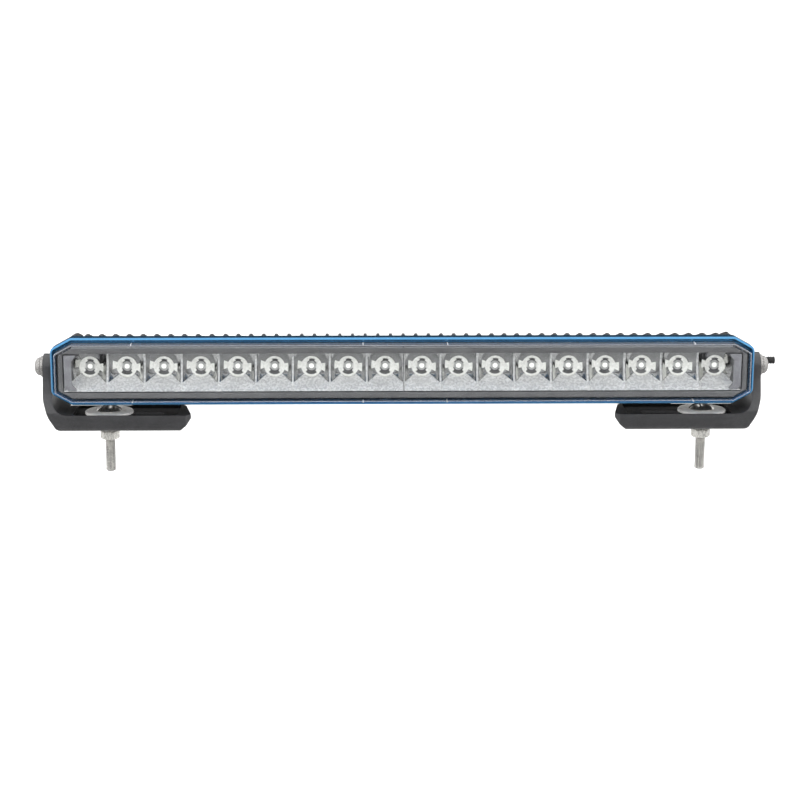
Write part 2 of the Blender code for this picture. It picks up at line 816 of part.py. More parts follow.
def make_driver_board(lamp):
    """The current driver in the pocket behind the LED boards, its parts facing forward."""
    front = DRIVER_BOARD_FRONT
    half_x = DRIVER_HALF_LENGTH - GAP
    half_z = DRIVER_HALF_HEIGHT - GAP
    rear = front + BOARD_THICKNESS
    board = box("driver_board", (-half_x, front, -half_z), (half_x, rear, half_z), lamp)
    root = front + 0.0005
    chokes = [
        cylinder(f"choke_{i}", "Y", (x, 0, 0), CHOKE_RADIUS, (0.0, root), lamp)
        for i, x in enumerate(CHOKE_PLACES)
    ]
    blocks = [
        box(
            f"driver_block_{i}",
            (x, DRIVER_BLOCK_FRONT, -DRIVER_BLOCK_HALF_HEIGHT),
            (x + DRIVER_BLOCK_LENGTH, root, DRIVER_BLOCK_HALF_HEIGHT),
            lamp,
        )
        for i, x in enumerate(DRIVER_BLOCK_PLACES)
    ]
    combine(board, "UNION", *chokes, *blocks)
    return finish(board, "driver_green")


def make_breather_vent(lamp):
    """A pressure-equalising plug pressed into the boss on the back."""
    face = VENT_BOSS_REAR + GAP
    profile = [
        (0.0, face + VENT_HEAD),
        (VENT_RADIUS * 0.8, face + VENT_HEAD),
        (VENT_RADIUS, face + VENT_HEAD * 0.6),
        (VENT_RADIUS, face),
        (VENT_STEM_RADIUS, face),
        (VENT_STEM_RADIUS, VENT_STEM_FRONT),
        (0.0, VENT_STEM_FRONT),
    ]
    vent = turned("breather_vent", profile, lamp)
    vent.rotation_euler.x = -math.pi / 2
    return finish(vent, "black_nylon")


def make_gland(lamp):
    """The supply lead's outlet: a flanged tube screwed into the end and its rubber boot."""
    flange_root = END_BLOCK_FACE + GAP
    flange_face = flange_root + GLAND_FLANGE
    profile = [
        (GLAND_BORE, GLAND_COLLAR),
        (GLAND_RADIUS, GLAND_COLLAR),
        (GLAND_RADIUS, flange_face),
        (GLAND_FLANGE_RADIUS, flange_face),
        (GLAND_FLANGE_RADIUS, flange_root),
        (GLAND_RADIUS, flange_root),
        (GLAND_RADIUS, GLAND_ROOT),
        (GLAND_BORE, GLAND_ROOT),
    ]
    gland = turned("cable_gland", profile, lamp, ring=True)
    boot_profile = [
        (BOOT_BORE, GLAND_TIP),
        (BOOT_RADIUS - 0.0004, GLAND_TIP),
        (BOOT_RADIUS, GLAND_TIP - 0.0006),
        (BOOT_RADIUS, GLAND_COLLAR + GAP),
        (BOOT_BORE, GLAND_COLLAR + GAP),
    ]
    boot = turned("gland_boot", boot_profile, lamp, ring=True)
    for piece in (gland, boot):
        piece.rotation_euler.y = math.pi / 2
        piece.location = (0, GLAND_DEPTH, 0)
    finish(gland, "black_nylon")
    finish(boot, "rubber")


# ---------------------------------------------------------------- tilt pivots


def make_pivots(lamp):
    """Spacer, washer and M8 button-head bolt on the tilt axis, drawn for the right end."""
    spacer_top = PIVOT_BOSS_FACE + GAP + PIVOT_SPACER
    washer_top = ARM_OUTER + GAP + PIVOT_WASHER
    head = washer_top + GAP
    rim = head + BUTTON_RIM
    rise = BUTTON_HEIGHT - BUTTON_RIM
    dome = [
        (BUTTON_RADIUS * math.sin(angle), rim + rise * math.cos(angle))
        for angle in (math.pi / 6, math.pi / 3, math.pi / 2)
    ]
    bolt_profile = [
        (0.0, dome[0][1]),
        *dome,
        (BUTTON_RADIUS, head),
        (M8_RADIUS, head),
        (M8_RADIUS, PIVOT_BOLT_END + 0.001),
        (M8_RADIUS - 0.001, PIVOT_BOLT_END),
        (0.0, PIVOT_BOLT_END),
    ]
    bolt = turned("right_pivot_bolt", bolt_profile, lamp)
    socket = cylinder(
        "pivot_socket",
        "Z",
        (0, 0, 0),
        SOCKET_ACROSS_FLATS / math.sqrt(3),
        (dome[0][1] - SOCKET_DEPTH, dome[0][1] + 0.002),
        lamp,
        segments=6,
    )
    combine(bolt, "DIFFERENCE", socket)
    washer = turned(
        "right_pivot_washer",
        washer_profile(M8_CLEARANCE, WASHER_RADIUS, washer_top, PIVOT_WASHER),
        lamp,
        ring=True,
    )
    spacer = turned(
        "right_pivot_spacer",
        washer_profile(M8_CLEARANCE, PIVOT_SPACER_RADIUS, spacer_top, PIVOT_SPACER),
        lamp,
        ring=True,
    )
    for piece, look in ((bolt, "stainless"), (washer, "stainless"), (spacer, "black_nylon")):
        finish(bake(piece), look)
        piece.rotation_euler.y = math.pi / 2
        twin = copy_of(piece, piece.name.replace("right", "left"), (0, 0, 0))
        twin.rotation_euler.y = -math.pi / 2


# ---------------------------------------------------------------- brackets


def arm_outline():
    """A bracket from the side: a round top about the pivot, flaring down to the foot."""
    top = [
        (ARM_TOP_RADIUS * math.cos(angle), AXIS_HEIGHT + ARM_TOP_RADIUS * math.sin(angle))
        for angle in (math.pi * i / 10 for i in range(11))
    ]
    front = [
        (-0.0110, 0.0380, 0.030),
        (-0.0135, 0.0260, 0.015),
        (-FOOT_HALF_DEPTH, 0.0150, 0.004),
        (-FOOT_HALF_DEPTH, 0.0, 0.003),
    ]
    rear = [(-y, z, radius) for y, z, radius in reversed(front)]
    return rounded(top + front + rear)


def foot_section(sign):
    """A bracket from the front: arm and foot, rounded where they meet and at the inner end."""
    corners = [
        (ARM_OUTER, AXIS_HEIGHT + 0.0120),
        (ARM_OUTER, 0.0240, 0.020),
        (ARM_OUTER - 0.0046, 0.0105, 0.020),
        (ARM_OUTER - 0.0113, 0.0, 0.006),
        (FOOT_INNER_END + 0.0085, 0.0),
        (FOOT_INNER_END + 0.0035, 0.0044),
        (FOOT_INNER_END, 0.0094),
        (FOOT_INNER_END, FOOT_HEIGHT - 0.0008),
        (FOOT_INNER_END + 0.0008, FOOT_HEIGHT),
        (ARM_INNER, FOOT_HEIGHT, 0.012),
        (ARM_INNER, AXIS_HEIGHT + 0.0120),
    ]
    return rounded([(sign * u, v, *radius) for u, v, *radius in corners])


def foot_plan(sign):
    """A bracket from above: the inner end slopes back and both its corners are cut off."""
    corners = [
        (ARM_OUTER + 0.0100, -FOOT_HALF_DEPTH),
        (FOOT_INNER_END + 0.0035, -FOOT_HALF_DEPTH, 0.002),
        (FOOT_INNER_END, -0.0160, 0.002),
        (FOOT_INNER_END + 0.0060, 0.0140, 0.002),
        (FOOT_INNER_END + 0.0100, FOOT_HALF_DEPTH, 0.002),
        (ARM_OUTER + 0.0100, FOOT_HALF_DEPTH),
    ]
    return rounded([(sign * u, v, *radius) for u, v, *radius in corners])


def make_bracket(side):
    """What the three outlines share, less the channel, the lower rear rim, slot and hole."""
    sign = SIDES[side]
    bracket = prism(f"{side}_bracket", "XZ", foot_section(sign), (-0.030, 0.030))
    span = sorted((sign * (FOOT_INNER_END - 0.010), sign * (ARM_OUTER + 0.010)))
    from_side = prism(f"{side}_bracket_side", "YZ", arm_outline(), span)
    from_above = prism(f"{side}_bracket_plan", "XY", foot_plan(sign), (-0.005, 0.065))
    combine(bracket, "INTERSECT", from_side, from_above)
    channel = prism(
        f"{side}_channel",
        "XY",
        rectangle(
            *sorted((sign * CHANNEL_INNER, sign * CHANNEL_OUTER)),
            -CHANNEL_HALF_DEPTH,
            CHANNEL_HALF_DEPTH,
            0.004,
        ),
        (CHANNEL_FLOOR, 0.020),
    )
    low_x, high_x = sorted((sign * OPEN_RIM_INNER, sign * OPEN_RIM_OUTER))
    open_rim = box(
        f"{side}_open_rim", (low_x, 0.0100, OPEN_RIM_FLOOR), (high_x, 0.0300, 0.0200)
    )
    slot = prism(
        f"{side}_slot",
        "XY",
        rectangle(
            *sorted((sign * SLOT_INNER, sign * SLOT_OUTER)),
            -SLOT_HALF_WIDTH,
            SLOT_HALF_WIDTH,
            SLOT_HALF_WIDTH - 0.0001,
            SLOT_END_STEPS,
        ),
        (-0.005, 0.015),
    )
    pivot_hole = cylinder(
        f"{side}_arm_hole",
        "X",
        (0, 0, AXIS_HEIGHT),
        M8_CLEARANCE,
        sorted((sign * (ARM_INNER - 0.005), sign * (ARM_OUTER + 0.005))),
    )
    combine(bracket, "DIFFERENCE", channel, open_rim, slot, pivot_hole)
    return finish(bracket, "black_bracket")


# ---------------------------------------------------------------- mounting hardware


def make_carriage_bolt(carrier):
    head = CHANNEL_FLOOR + GAP + SLOT_WASHER + GAP
    sphere = (CARRIAGE_HEAD_RADIUS**2 + CARRIAGE_HEAD_HEIGHT**2) / (2 * CARRIAGE_HEAD_HEIGHT)
    centre = head + CARRIAGE_HEAD_HEIGHT - sphere
    rim_angle = math.asin(CARRIAGE_HEAD_RADIUS / sphere)
    dome = [
        (sphere * math.sin(angle), centre + sphere * math.cos(angle))
        for angle in (rim_angle * i / 5 for i in range(6))
    ]
    profile = [
        *dome,
        (M8_RADIUS, head),
        (M8_RADIUS, STUD_TIP + 0.001),
        (M8_RADIUS - 0.001, STUD_TIP),
        (0.0, STUD_TIP),
    ]
    bolt = turned("left_carriage_bolt", profile, carrier)
    neck = box(
        "square_neck",
        (-NECK_HALF_SIDE, -NECK_HALF_SIDE, head - NECK_LENGTH),
        (NECK_HALF_SIDE, NECK_HALF_SIDE, head + 0.0005),
        carrier,
    )
    return bake(combine(bolt, "UNION", neck))


def make_hex_nut(carrier, top):
    """A hexagon with its corners turned off, bored for the stud."""
    across_corners = NUT_ACROSS_FLATS / math.cos(math.pi / 6)
    nut = cylinder(
        "left_hex_nut",
        "Z",
        (0, 0, 0),
        across_corners / 2,
        (top - NUT_HEIGHT, top),
        carrier,
        segments=6,
        turn=math.pi / 6,
    )
    bevel = (across_corners - NUT_ACROSS_FLATS) / 2
    turned_off = turned(
        "nut_blank",
        [
            (0.0, top),
            (NUT_ACROSS_FLATS / 2, top),
            (across_corners / 2 + 0.0001, top - bevel * 0.6),
            (across_corners / 2 + 0.0001, top - NUT_HEIGHT + bevel * 0.6),
            (NUT_ACROSS_FLATS / 2, top - NUT_HEIGHT),
            (0.0, top - NUT_HEIGHT),
        ],
        carrier,
    )
    bore = cylinder(
        "nut_bore",
        "Z",
        (0, 0, 0),
        M8_CLEARANCE,
        (top - NUT_HEIGHT - 0.001, top + 0.001),
        carrier,
    )
    combine(nut, "INTERSECT", turned_off)
    return bake(combine(nut, "DIFFERENCE", bore))


def make_spring_washer(carrier, top):
    washer = turned(
        "left_spring_washer",
        washer_profile(M8_CLEARANCE, SPRING_WASHER_RADIUS, top, SPRING_WASHER),
        carrier,
        ring=True,
    )
    split = box("washer_split", (0.0, -0.0005, top - 0.004), (0.010, 0.0005, top + 0.002), carrier)
    return bake(combine(washer, "DIFFERENCE", split))


def make_mounting_hardware():
    """One carriage bolt with its washers and nut under each foot."""
    left = new_empty("left_bolt_axis", (MOUNT_BOLT_X["left"], 0, 0))
    right = new_empty("right_bolt_axis", (MOUNT_BOLT_X["right"], 0, 0))
    slot_washer_top = CHANNEL_FLOOR + GAP + SLOT_WASHER
    spring_top = -GAP - FLAT_WASHER - GAP
    nut_top = spring_top - SPRING_WASHER - GAP
    pieces = [
        make_carriage_bolt(left),
        bake(
            turned(
                "left_slot_washer",
                washer_profile(SLOT_WASHER_BORE, SLOT_WASHER_RADIUS, slot_washer_top, SLOT_WASHER),
                left,
                segments=28,
                ring=True,
            )
        ),
        bake(
            turned(
                "left_flat_washer",
                washer_profile(M8_CLEARANCE, WASHER_RADIUS, -GAP, FLAT_WASHER),
                left,
                ring=True,
            )
        ),
        make_spring_washer(left, spring_top),
        make_hex_nut(left, nut_top),
    ]
    for piece in pieces:
        finish(piece, "stainless")
        twin = copy_of(piece, piece.name.replace("left", "right"), (0, 0, 0))
        twin.parent = right


# ---------------------------------------------------------------- assembly

clear_scene()
PARTS = new_collection("led_light_bar")
CUTTERS = new_collection("cutters", helpers=True)
MATERIALS = {name: new_material(name) for name in FINISHES}

tilt_axis = new_empty("lamp_tilt_axis", (0, 0, AXIS_HEIGHT))
make_housing(tilt_axis)
make_trim_ring(tilt_axis)
make_lens(tilt_axis)
make_lens_seal(tilt_axis)
make_ring_screws(tilt_axis)
make_reflector_mask(tilt_axis)
make_leds(tilt_axis)
for lamp_side in SIDES:
    make_reflector(tilt_axis, lamp_side)
    make_led_board(tilt_axis, lamp_side)
make_driver_board(tilt_axis)
make_breather_vent(tilt_axis)
make_gland(tilt_axis)
make_pivots(tilt_axis)
for bracket_side in SIDES:
    make_bracket(bracket_side)
make_mounting_hardware()
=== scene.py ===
"""Looks for the LED light bar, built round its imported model, in metres.

The lamp shines along -Y, +X is on the right of somebody who looks at its lens, and +Z is up.
Shapes of the lamp are drawn about its tilt axis and then raised to it.
"""

import math

import bmesh
import bpy
from mathutils import Matrix, Vector


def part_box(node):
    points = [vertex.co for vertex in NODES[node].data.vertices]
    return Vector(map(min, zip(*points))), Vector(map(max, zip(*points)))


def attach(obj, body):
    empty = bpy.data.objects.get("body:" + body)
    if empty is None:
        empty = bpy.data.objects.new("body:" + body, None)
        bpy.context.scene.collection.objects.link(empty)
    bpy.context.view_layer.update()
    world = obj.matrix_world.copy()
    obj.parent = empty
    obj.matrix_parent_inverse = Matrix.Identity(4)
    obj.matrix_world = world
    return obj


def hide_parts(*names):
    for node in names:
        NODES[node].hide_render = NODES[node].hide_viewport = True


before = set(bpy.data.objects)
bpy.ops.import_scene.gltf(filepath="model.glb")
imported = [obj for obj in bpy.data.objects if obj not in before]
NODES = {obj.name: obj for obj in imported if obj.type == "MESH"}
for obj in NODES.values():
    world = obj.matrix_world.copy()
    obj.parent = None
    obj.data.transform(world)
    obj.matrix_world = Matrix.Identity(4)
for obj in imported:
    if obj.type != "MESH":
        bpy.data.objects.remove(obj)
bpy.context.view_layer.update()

MM = 0.001
GAP = 0.3 * MM  # left between neighbouring pieces, as in the CAD model
SIDES = {"left": -1, "right": 1}


# ---------------------------------------------------------------- sizes read from the frame


def middle(node):
    low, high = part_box(node)
    return (low + high) / 2


RING_LOW, RING_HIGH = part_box("trim_ring")
AXIS = Vector((0, 0, (RING_LOW.z + RING_HIGH.z) / 2))
RING_HALF_LENGTH = (RING_HIGH.x - RING_LOW.x) / 2
RING_HALF_HEIGHT = (RING_HIGH.z - RING_LOW.z) / 2
RING_FRONT, RING_REAR = RING_LOW.y, RING_HIGH.y
LENS_FRONT, LENS_REAR = (corner.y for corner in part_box("lens"))
MASK_FRONT, MASK_REAR = (corner.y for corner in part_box("reflector_mask"))
REFLECTOR_LOW, REFLECTOR_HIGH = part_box("reflector_left")
REFLECTOR_FRONT, REFLECTOR_REAR = REFLECTOR_LOW.y, REFLECTOR_HIGH.y
REFLECTOR_HALF_HEIGHT = (REFLECTOR_HIGH.z - REFLECTOR_LOW.z) / 2
LED_CENTRES = [middle(f"led_{i:02d}") for i in range(1, 19)]
LED_FRONT, LED_REAR = (corner.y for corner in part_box("led_01"))

# The lamp's front outline: a rectangle with slanted corners.
CLIP_LENGTH = 15.5 * MM
CLIP_HEIGHT = 8.6 * MM
CORNER_RADIUS = 5.0 * MM
RING_WALL = 1.8 * MM
LENS_INSET = 4.2 * MM
SPIGOT_INSET = 2.1 * MM
LENS_WALL = 2.4 * MM
LENS_FLANGE = 2.0 * MM  # how thick the lens's flange is
SMALLEST_RADIUS = 1.2 * MM


# ---------------------------------------------------------------- mesh helpers


def rounded(corners, steps=6):
    """A closed outline from (u, v) corners, or (u, v, radius) where the corner is an arc."""
    outline = []
    for i, (u, v, *radius) in enumerate(corners):
        corner = Vector((u, v))
        if not radius or radius[0] <= 0:
            outline.append(corner)
            continue
        before = (Vector(corners[i - 1][:2]) - corner).normalized()
        after = (Vector(corners[(i + 1) % len(corners)][:2]) - corner).normalized()
        half_angle = before.angle(after) / 2
        centre = corner + (before + after).normalized() * radius[0] / math.sin(half_angle)
        first = corner + before * radius[0] / math.tan(half_angle) - centre
        turn = math.copysign(math.pi - 2 * half_angle, before.cross(after) * -1)
        for step in range(steps + 1):
            outline.append(centre + Matrix.Rotation(turn * step / steps, 2) @ first)
    return outline


def rectangle(low_u, high_u, half_v, radius, steps=6):
    """A rounded rectangle, counter-clockwise from its upper right corner."""
    corners = [(high_u, half_v), (low_u, half_v), (low_u, -half_v), (high_u, -half_v)]
    return rounded([(u, v, radius) for u, v in corners], steps)


def lamp_outline(inset, steps=6):
    """The lamp's front outline, moved inwards by an inset."""
    slant = math.hypot(CLIP_LENGTH, CLIP_HEIGHT)
    closing = inset * (CLIP_LENGTH + CLIP_HEIGHT - slant)
    u = RING_HALF_LENGTH - inset
    v = RING_HALF_HEIGHT - inset
    u_clip = u - CLIP_LENGTH + closing / CLIP_HEIGHT
    v_clip = v - CLIP_HEIGHT + closing / CLIP_LENGTH
    radius = max(CORNER_RADIUS - inset, SMALLEST_RADIUS)
    quarter_of_it = [(u, v_clip), (u_clip, v)]
    top = quarter_of_it + [(-a, b) for a, b in reversed(quarter_of_it)]
    bottom = [(-a, -b) for a, b in top]
    return rounded([(a, b, radius) for a, b in top + bottom], steps)


def loft(bm, loops, ring=False, caps=True):
    """Faces between loops that have the same number of points."""
    made = [[bm.verts.new(point) for point in loop] for loop in loops]
    pairs = list(zip(made, made[1:]))
    if ring:
        pairs.append((made[-1], made[0]))
    for near, far in pairs:
        for i in range(len(near)):
            bm.faces.new((near[i - 1], near[i], far[i], far[i - 1]))
    if caps and not ring:
        bm.faces.new(made[0])
        bm.faces.new(made[-1])
    return made


def right_angle(steps):
    """Angles from zero to a right angle."""
    return [math.pi / 2 * i / steps for i in range(steps + 1)]


def rounded_edge(inset, start, radius, steps):
    """(inset, depth) points of an edge's rounding. It is on the outer side if radius < 0."""
    return [
        (inset + radius * (1 - math.sin(a)), start + abs(radius) * (1 - math.cos(a)))
        for a in right_angle(steps)
    ]


def swept(bm, section, ring=False, steps=6):
    """A section of (inset, y) points carried round the lamp's outline."""
    loops = [[(u, y, v) for u, v in lamp_outline(inset, steps)] for inset, y in section]
    return loft(bm, loops, ring)


def circle(radius, height, count, shape=None):
    """A loop in local XY at a height. shape changes the radius by angle."""
    loop = []
    for i in range(count):
        angle = 2 * math.pi * i / count
        r = shape(angle, radius) if shape else radius
        loop.append((r * math.cos(angle), r * math.sin(angle), height))
    return loop


def lathe(profile, count=48):
    """Loops from (radius, height) rows, with a shape at the end of a row that isn't round."""
    return [circle(radius, height, count, *shape) for radius, height, *shape in profile]


def hexagon(angle, half_flats):
    return half_flats / math.cos((angle % (math.pi / 3)) - math.pi / 6)


def square(angle, half):
    """A square whose corners are cut off at 1.3 times its half width."""
    corner = 1 / max(abs(math.cos(angle)), abs(math.sin(angle)))
    return half * min(corner, 1.30)


def place(bm, matrix):
    bmesh.ops.transform(bm, matrix=matrix, verts=bm.verts)
    return bm


TO_X = Matrix.Rotation(math.pi / 2, 4, "Y")
TO_MINUS_X = Matrix.Rotation(-math.pi / 2, 4, "Y")
TO_Y = Matrix.Rotation(-math.pi / 2, 4, "X")
TO_MINUS_Y = Matrix.Rotation(math.pi / 2, 4, "X")
OUTWARDS = {1: TO_X, -1: TO_MINUS_X}


def grown(outline, amount):
    """An outline moved outwards by amount, for a counter-clockwise outline."""
    result = []
    count = len(outline)
    for i in range(count):
        before = (outline[i] - outline[i - 1]).normalized()
        after = (outline[(i + 1) % count] - outline[i]).normalized()
        normal = Vector((before.y + after.y, -before.x - after.x)).normalized()
        spread = max(normal.dot(Vector((before.y, -before.x))), 0.5)
        result.append(outline[i] + normal * amount / spread)
    return result


def counter_clockwise(outline):
    area = sum(a.cross(b) for a, b in zip(outline, outline[1:] + outline[:1]))
    return outline if area > 0 else list(reversed(outline))


PLANES = {
    "XY": lambda u, v, w: (u, v, w),
    "XZ": lambda u, v, w: (u, w, v),
    "YZ": lambda u, v, w: (w, u, v),
}


def prism(bm, plane, outline, span, edge=0.0, steps=2):
    """An outline swept from span[0] to span[1], its end edges rounded by edge."""
    outline = counter_clockwise(outline)
    put = PLANES[plane]
    levels = [(0.0, span[0]), (0.0, span[1])]
    if edge:
        lower = rounded_edge(0.0, span[0], -edge, steps)
        upper = [(inset, span[1] - (w - span[0])) for inset, w in reversed(lower)]
        levels = lower + upper
    loops = [[put(p.x, p.y, w) for p in grown(outline, inset)] for inset, w in levels]
    return loft(bm, loops)


def to_object(name, bm):
    """A new object from a bmesh, which is used up."""
    bmesh.ops.remove_doubles(bm, verts=bm.verts, dist=1e-7)
    bm.normal_update()
    bmesh.ops.recalc_face_normals(bm, faces=bm.faces)
    mesh = bpy.data.meshes.new(name)
    bm.to_mesh(mesh)
    bm.free()
    obj = bpy.data.objects.new(name, mesh)
    bpy.context.scene.collection.objects.link(obj)
    return obj


def solid(name, *prism_values):
    """A prism as an object of its own."""
    bm = bmesh.new()
    prism(bm, *prism_values)
    return to_object(name, bm)


def turned(name, loops, matrix, ring=False):
    """An object from loops that are stacked along Z, moved by a matrix."""
    bm = bmesh.new()
    loft(bm, loops, ring)
    return to_object(name, place(bm, matrix))


def cylinder(name, radius, start, end, matrix, count=32):
    return turned(name, lathe([(radius, start), (radius, end)], count), matrix)


def carve(obj, operation, *others):
    """Applies a Boolean with each of the others, and removes them."""
    for other in others:
        modifier = obj.modifiers.new("carve", "BOOLEAN")
        modifier.operation = operation
        modifier.solver = "EXACT"
        modifier.object = other
        settle(obj)
        bpy.data.objects.remove(other)
    return obj


def settle(obj):
    """Replaces an object's mesh by what its modifiers make of it."""
    graph = bpy.context.evaluated_depsgraph_get()
    mesh = bpy.data.meshes.new_from_object(obj.evaluated_get(graph))
    obj.modifiers.clear()
    obj.data = mesh
    return obj


def bevelled(obj, width, segments=2, angle=32):
    modifier = obj.modifiers.new("bevel", "BEVEL")
    modifier.width = width
    modifier.segments = segments
    modifier.limit_method = "ANGLE"
    modifier.angle_limit = math.radians(angle)
    modifier.use_clamp_overlap = True
    modifier.miter_outer = "MITER_ARC"
    return settle(obj)


def shade(obj, angle=35):
    obj.data.shade_smooth()
    obj.data.set_sharp_from_angle(angle=math.radians(angle))
    return obj


def piece(obj, body, materials, nodes, angle=35):
    """Finishes a visible piece: its shading, materials, body and the nodes it stands for."""
    shade(obj, angle)
    keep = [polygon.material_index for polygon in obj.data.polygons]
    obj.data.materials.clear()
    for material in materials if isinstance(materials, (list, tuple)) else [materials]:
        obj.data.materials.append(material)
    obj.data.polygons.foreach_set("material_index", keep)
    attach(obj, body)
    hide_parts(*nodes)
    return obj


# ---------------------------------------------------------------- materials


def add_node(tree, kind, *values, operation=None, clamp=False, **inputs):
    """A shader node whose inputs, by place or by name, take values or other nodes' outputs."""
    made = tree.nodes.new(kind)
    if operation:
        made.operation = operation
    if clamp:
        made.use_clamp = True
    by_name = {socket.replace("_", " "): value for socket, value in inputs.items()}
    for socket, value in [*enumerate(values), *by_name.items()]:
        if hasattr(value, "is_output"):
            tree.links.new(value, made.inputs[socket])
        else:
            made.inputs[socket].default_value = value
    return made


def set_stops(ramp, stops):
    """Gives a colour ramp its (position, colour) stops."""
    elements = ramp.color_ramp.elements
    while len(elements) < len(stops):
        elements.new(0.5)
    for element, (position, colour) in zip(elements, stops):
        element.position = position
        element.color = (*colour, 1.0)


class Surface:
    """A Principled material whose colour, roughness and relief vary with position."""

    def __init__(self, name, **values):
        self.material = bpy.data.materials.new(name)
        self.material.use_nodes = True
        self.tree = self.material.node_tree
        self.shader = self.tree.nodes["Principled BSDF"]
        for socket, value in values.items():
            self.shader.inputs[socket.replace("_", " ")].default_value = value
        self.where = self.node("ShaderNodeTexCoord").outputs["Object"]
        self.relief = None

    def node(self, kind, *values, **inputs):
        return add_node(self.tree, kind, *values, **inputs)

    def noise(self, scale, detail=3.0, stretch=(1, 1, 1)):
        where = self.node("ShaderNodeMapping", Vector=self.where, Scale=stretch).outputs[0]
        return self.node(
            "ShaderNodeTexNoise", Vector=where, Scale=scale, Detail=detail, Roughness=0.55
        ).outputs["Fac"]

    def ramp(self, factor, *stops):
        made = self.node("ShaderNodeValToRGB", Fac=factor)
        set_stops(made, stops)
        return made.outputs["Color"]

    def mix(self, factor, one, other):
        """A colour between one and a constant other, by factor."""
        made = self.node("ShaderNodeMix")
        made.data_type = "RGBA"
        self.tree.links.new(factor, made.inputs[0])
        self.tree.links.new(one, made.inputs[6])
        made.inputs[7].default_value = (*other, 1.0)
        return made.outputs[2]

    def colour(self, output):
        self.tree.links.new(output, self.shader.inputs["Base Color"])

    def vary(self, socket, factor, low, high):
        made = self.node(
            "ShaderNodeMapRange", Value=factor, From_Min=0.3, From_Max=0.7, To_Min=low, To_Max=high
        )
        self.tree.links.new(made.outputs[0], self.shader.inputs[socket])

    def bump(self, height, distance, strength=1.0):
        made = self.node("ShaderNodeBump", Height=height, Distance=distance, Strength=strength)
        if self.relief:
            self.tree.links.new(self.relief, made.inputs["Normal"])
        self.relief = made.outputs["Normal"]
        self.tree.links.new(self.relief, self.shader.inputs["Normal"])


def mottled(name, patches, tones, gloss, *reliefs, stops=(0.3, 0.7), **values):
    """A surface with two tones in patches, an uneven gloss and a fine relief.

    patches is what noise() takes. gloss is the lowest and highest roughness, then its noise.
    Each relief is a depth in millimetres, a strength, then its noise.
    """
    s = Surface(name, **values)
    s.colour(s.ramp(s.noise(*patches), *zip(stops, tones)))
    if gloss:
        s.vary("Roughness", s.noise(*gloss[2]), gloss[0], gloss[1])
    for depth, strength, grain in reliefs:
        s.bump(s.noise(*grain), depth * MM, strength)
    return s.material


def cast_black():
    """Powder-coated die casting: a fine orange peel, with sharp edges painted paler as a painted
    highlight.
    """
    s = Surface("cast_black", Metallic=0.0, Coat_Weight=0.15, Coat_Roughness=0.35)
    broad = s.noise(40, 4)
    base = s.ramp(broad, (0.30, (0.013, 0.013, 0.014)), (0.75, (0.027, 0.027, 0.029)))
    # Sharp edges are painted paler: a painted highlight where light catches them.
    sharpness = s.node("ShaderNodeNewGeometry").outputs["Pointiness"]
    edges = s.ramp(sharpness, (0.515, (0, 0, 0)), (0.60, (1, 1, 1)))
    s.colour(s.mix(edges, base, (0.055, 0.055, 0.058)))
    s.vary("Roughness", s.noise(300, 3), 0.38, 0.52)
    s.bump(s.noise(1500, 2), 0.04 * MM, 0.5)
    return s.material


def bracket_black():
    """Semi-matt black powder coat with a fine texture."""
    s = Surface("bracket_black", Metallic=0.0, Coat_Weight=0.6, Coat_Roughness=0.3)
    broad = s.noise(60, 5)
    base = s.ramp(broad, (0.30, (0.015, 0.015, 0.016)), (0.75, (0.027, 0.027, 0.029)))
    speck = s.ramp(s.noise(2600, 2), (0.45, (0, 0, 0)), (0.80, (1, 1, 1)))
    s.colour(s.mix(speck, base, (0.052, 0.052, 0.055)))
    s.vary("Roughness", s.noise(500, 3), 0.36, 0.50)
    s.bump(s.noise(240, 2), 0.05 * MM, 0.25)
    s.bump(s.noise(1900, 2), 0.05 * MM, 0.45)
    return s.material


def stainless(name, low, high, tint=(0.60, 0.59, 0.57), metal=0.65):
    """Machined stainless steel: fine turning marks and a little staining."""
    marks = (1800, 3, (1, 1, 0.25))
    tones = (tuple(c * 0.78 for c in tint), tint)
    return mottled(
        name, (260, 4), tones, (low, high, marks), (0.01, 0.35, marks), Metallic=metal
    )


def moulded(name, dark, light, low, high):
    """Moulded rubber or plastic with a fine grain."""
    gloss, grain = (low, high, (500, 3)), (0.03, 0.5, (1400, 2))
    tones = (dark, light)
    return mottled(name, (150, 4), tones, gloss, grain, stops=(0.30, 0.72), Metallic=0.0)


def board(name, mask, copper, grid):
    """A circuit board: solder mask over tracks laid out on a grid."""
    s = Surface(name, Metallic=0.0, Roughness=0.35)
    brick = s.node(
        "ShaderNodeTexBrick",
        Vector=s.where,
        Scale=grid,
        Color1=(*mask, 1),
        Color2=(*(c * 0.9 for c in mask), 1),
        Mortar=(*copper, 1),
        Mortar_Size=0.02,
    )
    s.colour(brick.outputs["Color"])
    s.bump(s.noise(900, 2), 0.02 * MM, 0.3)
    return s.material


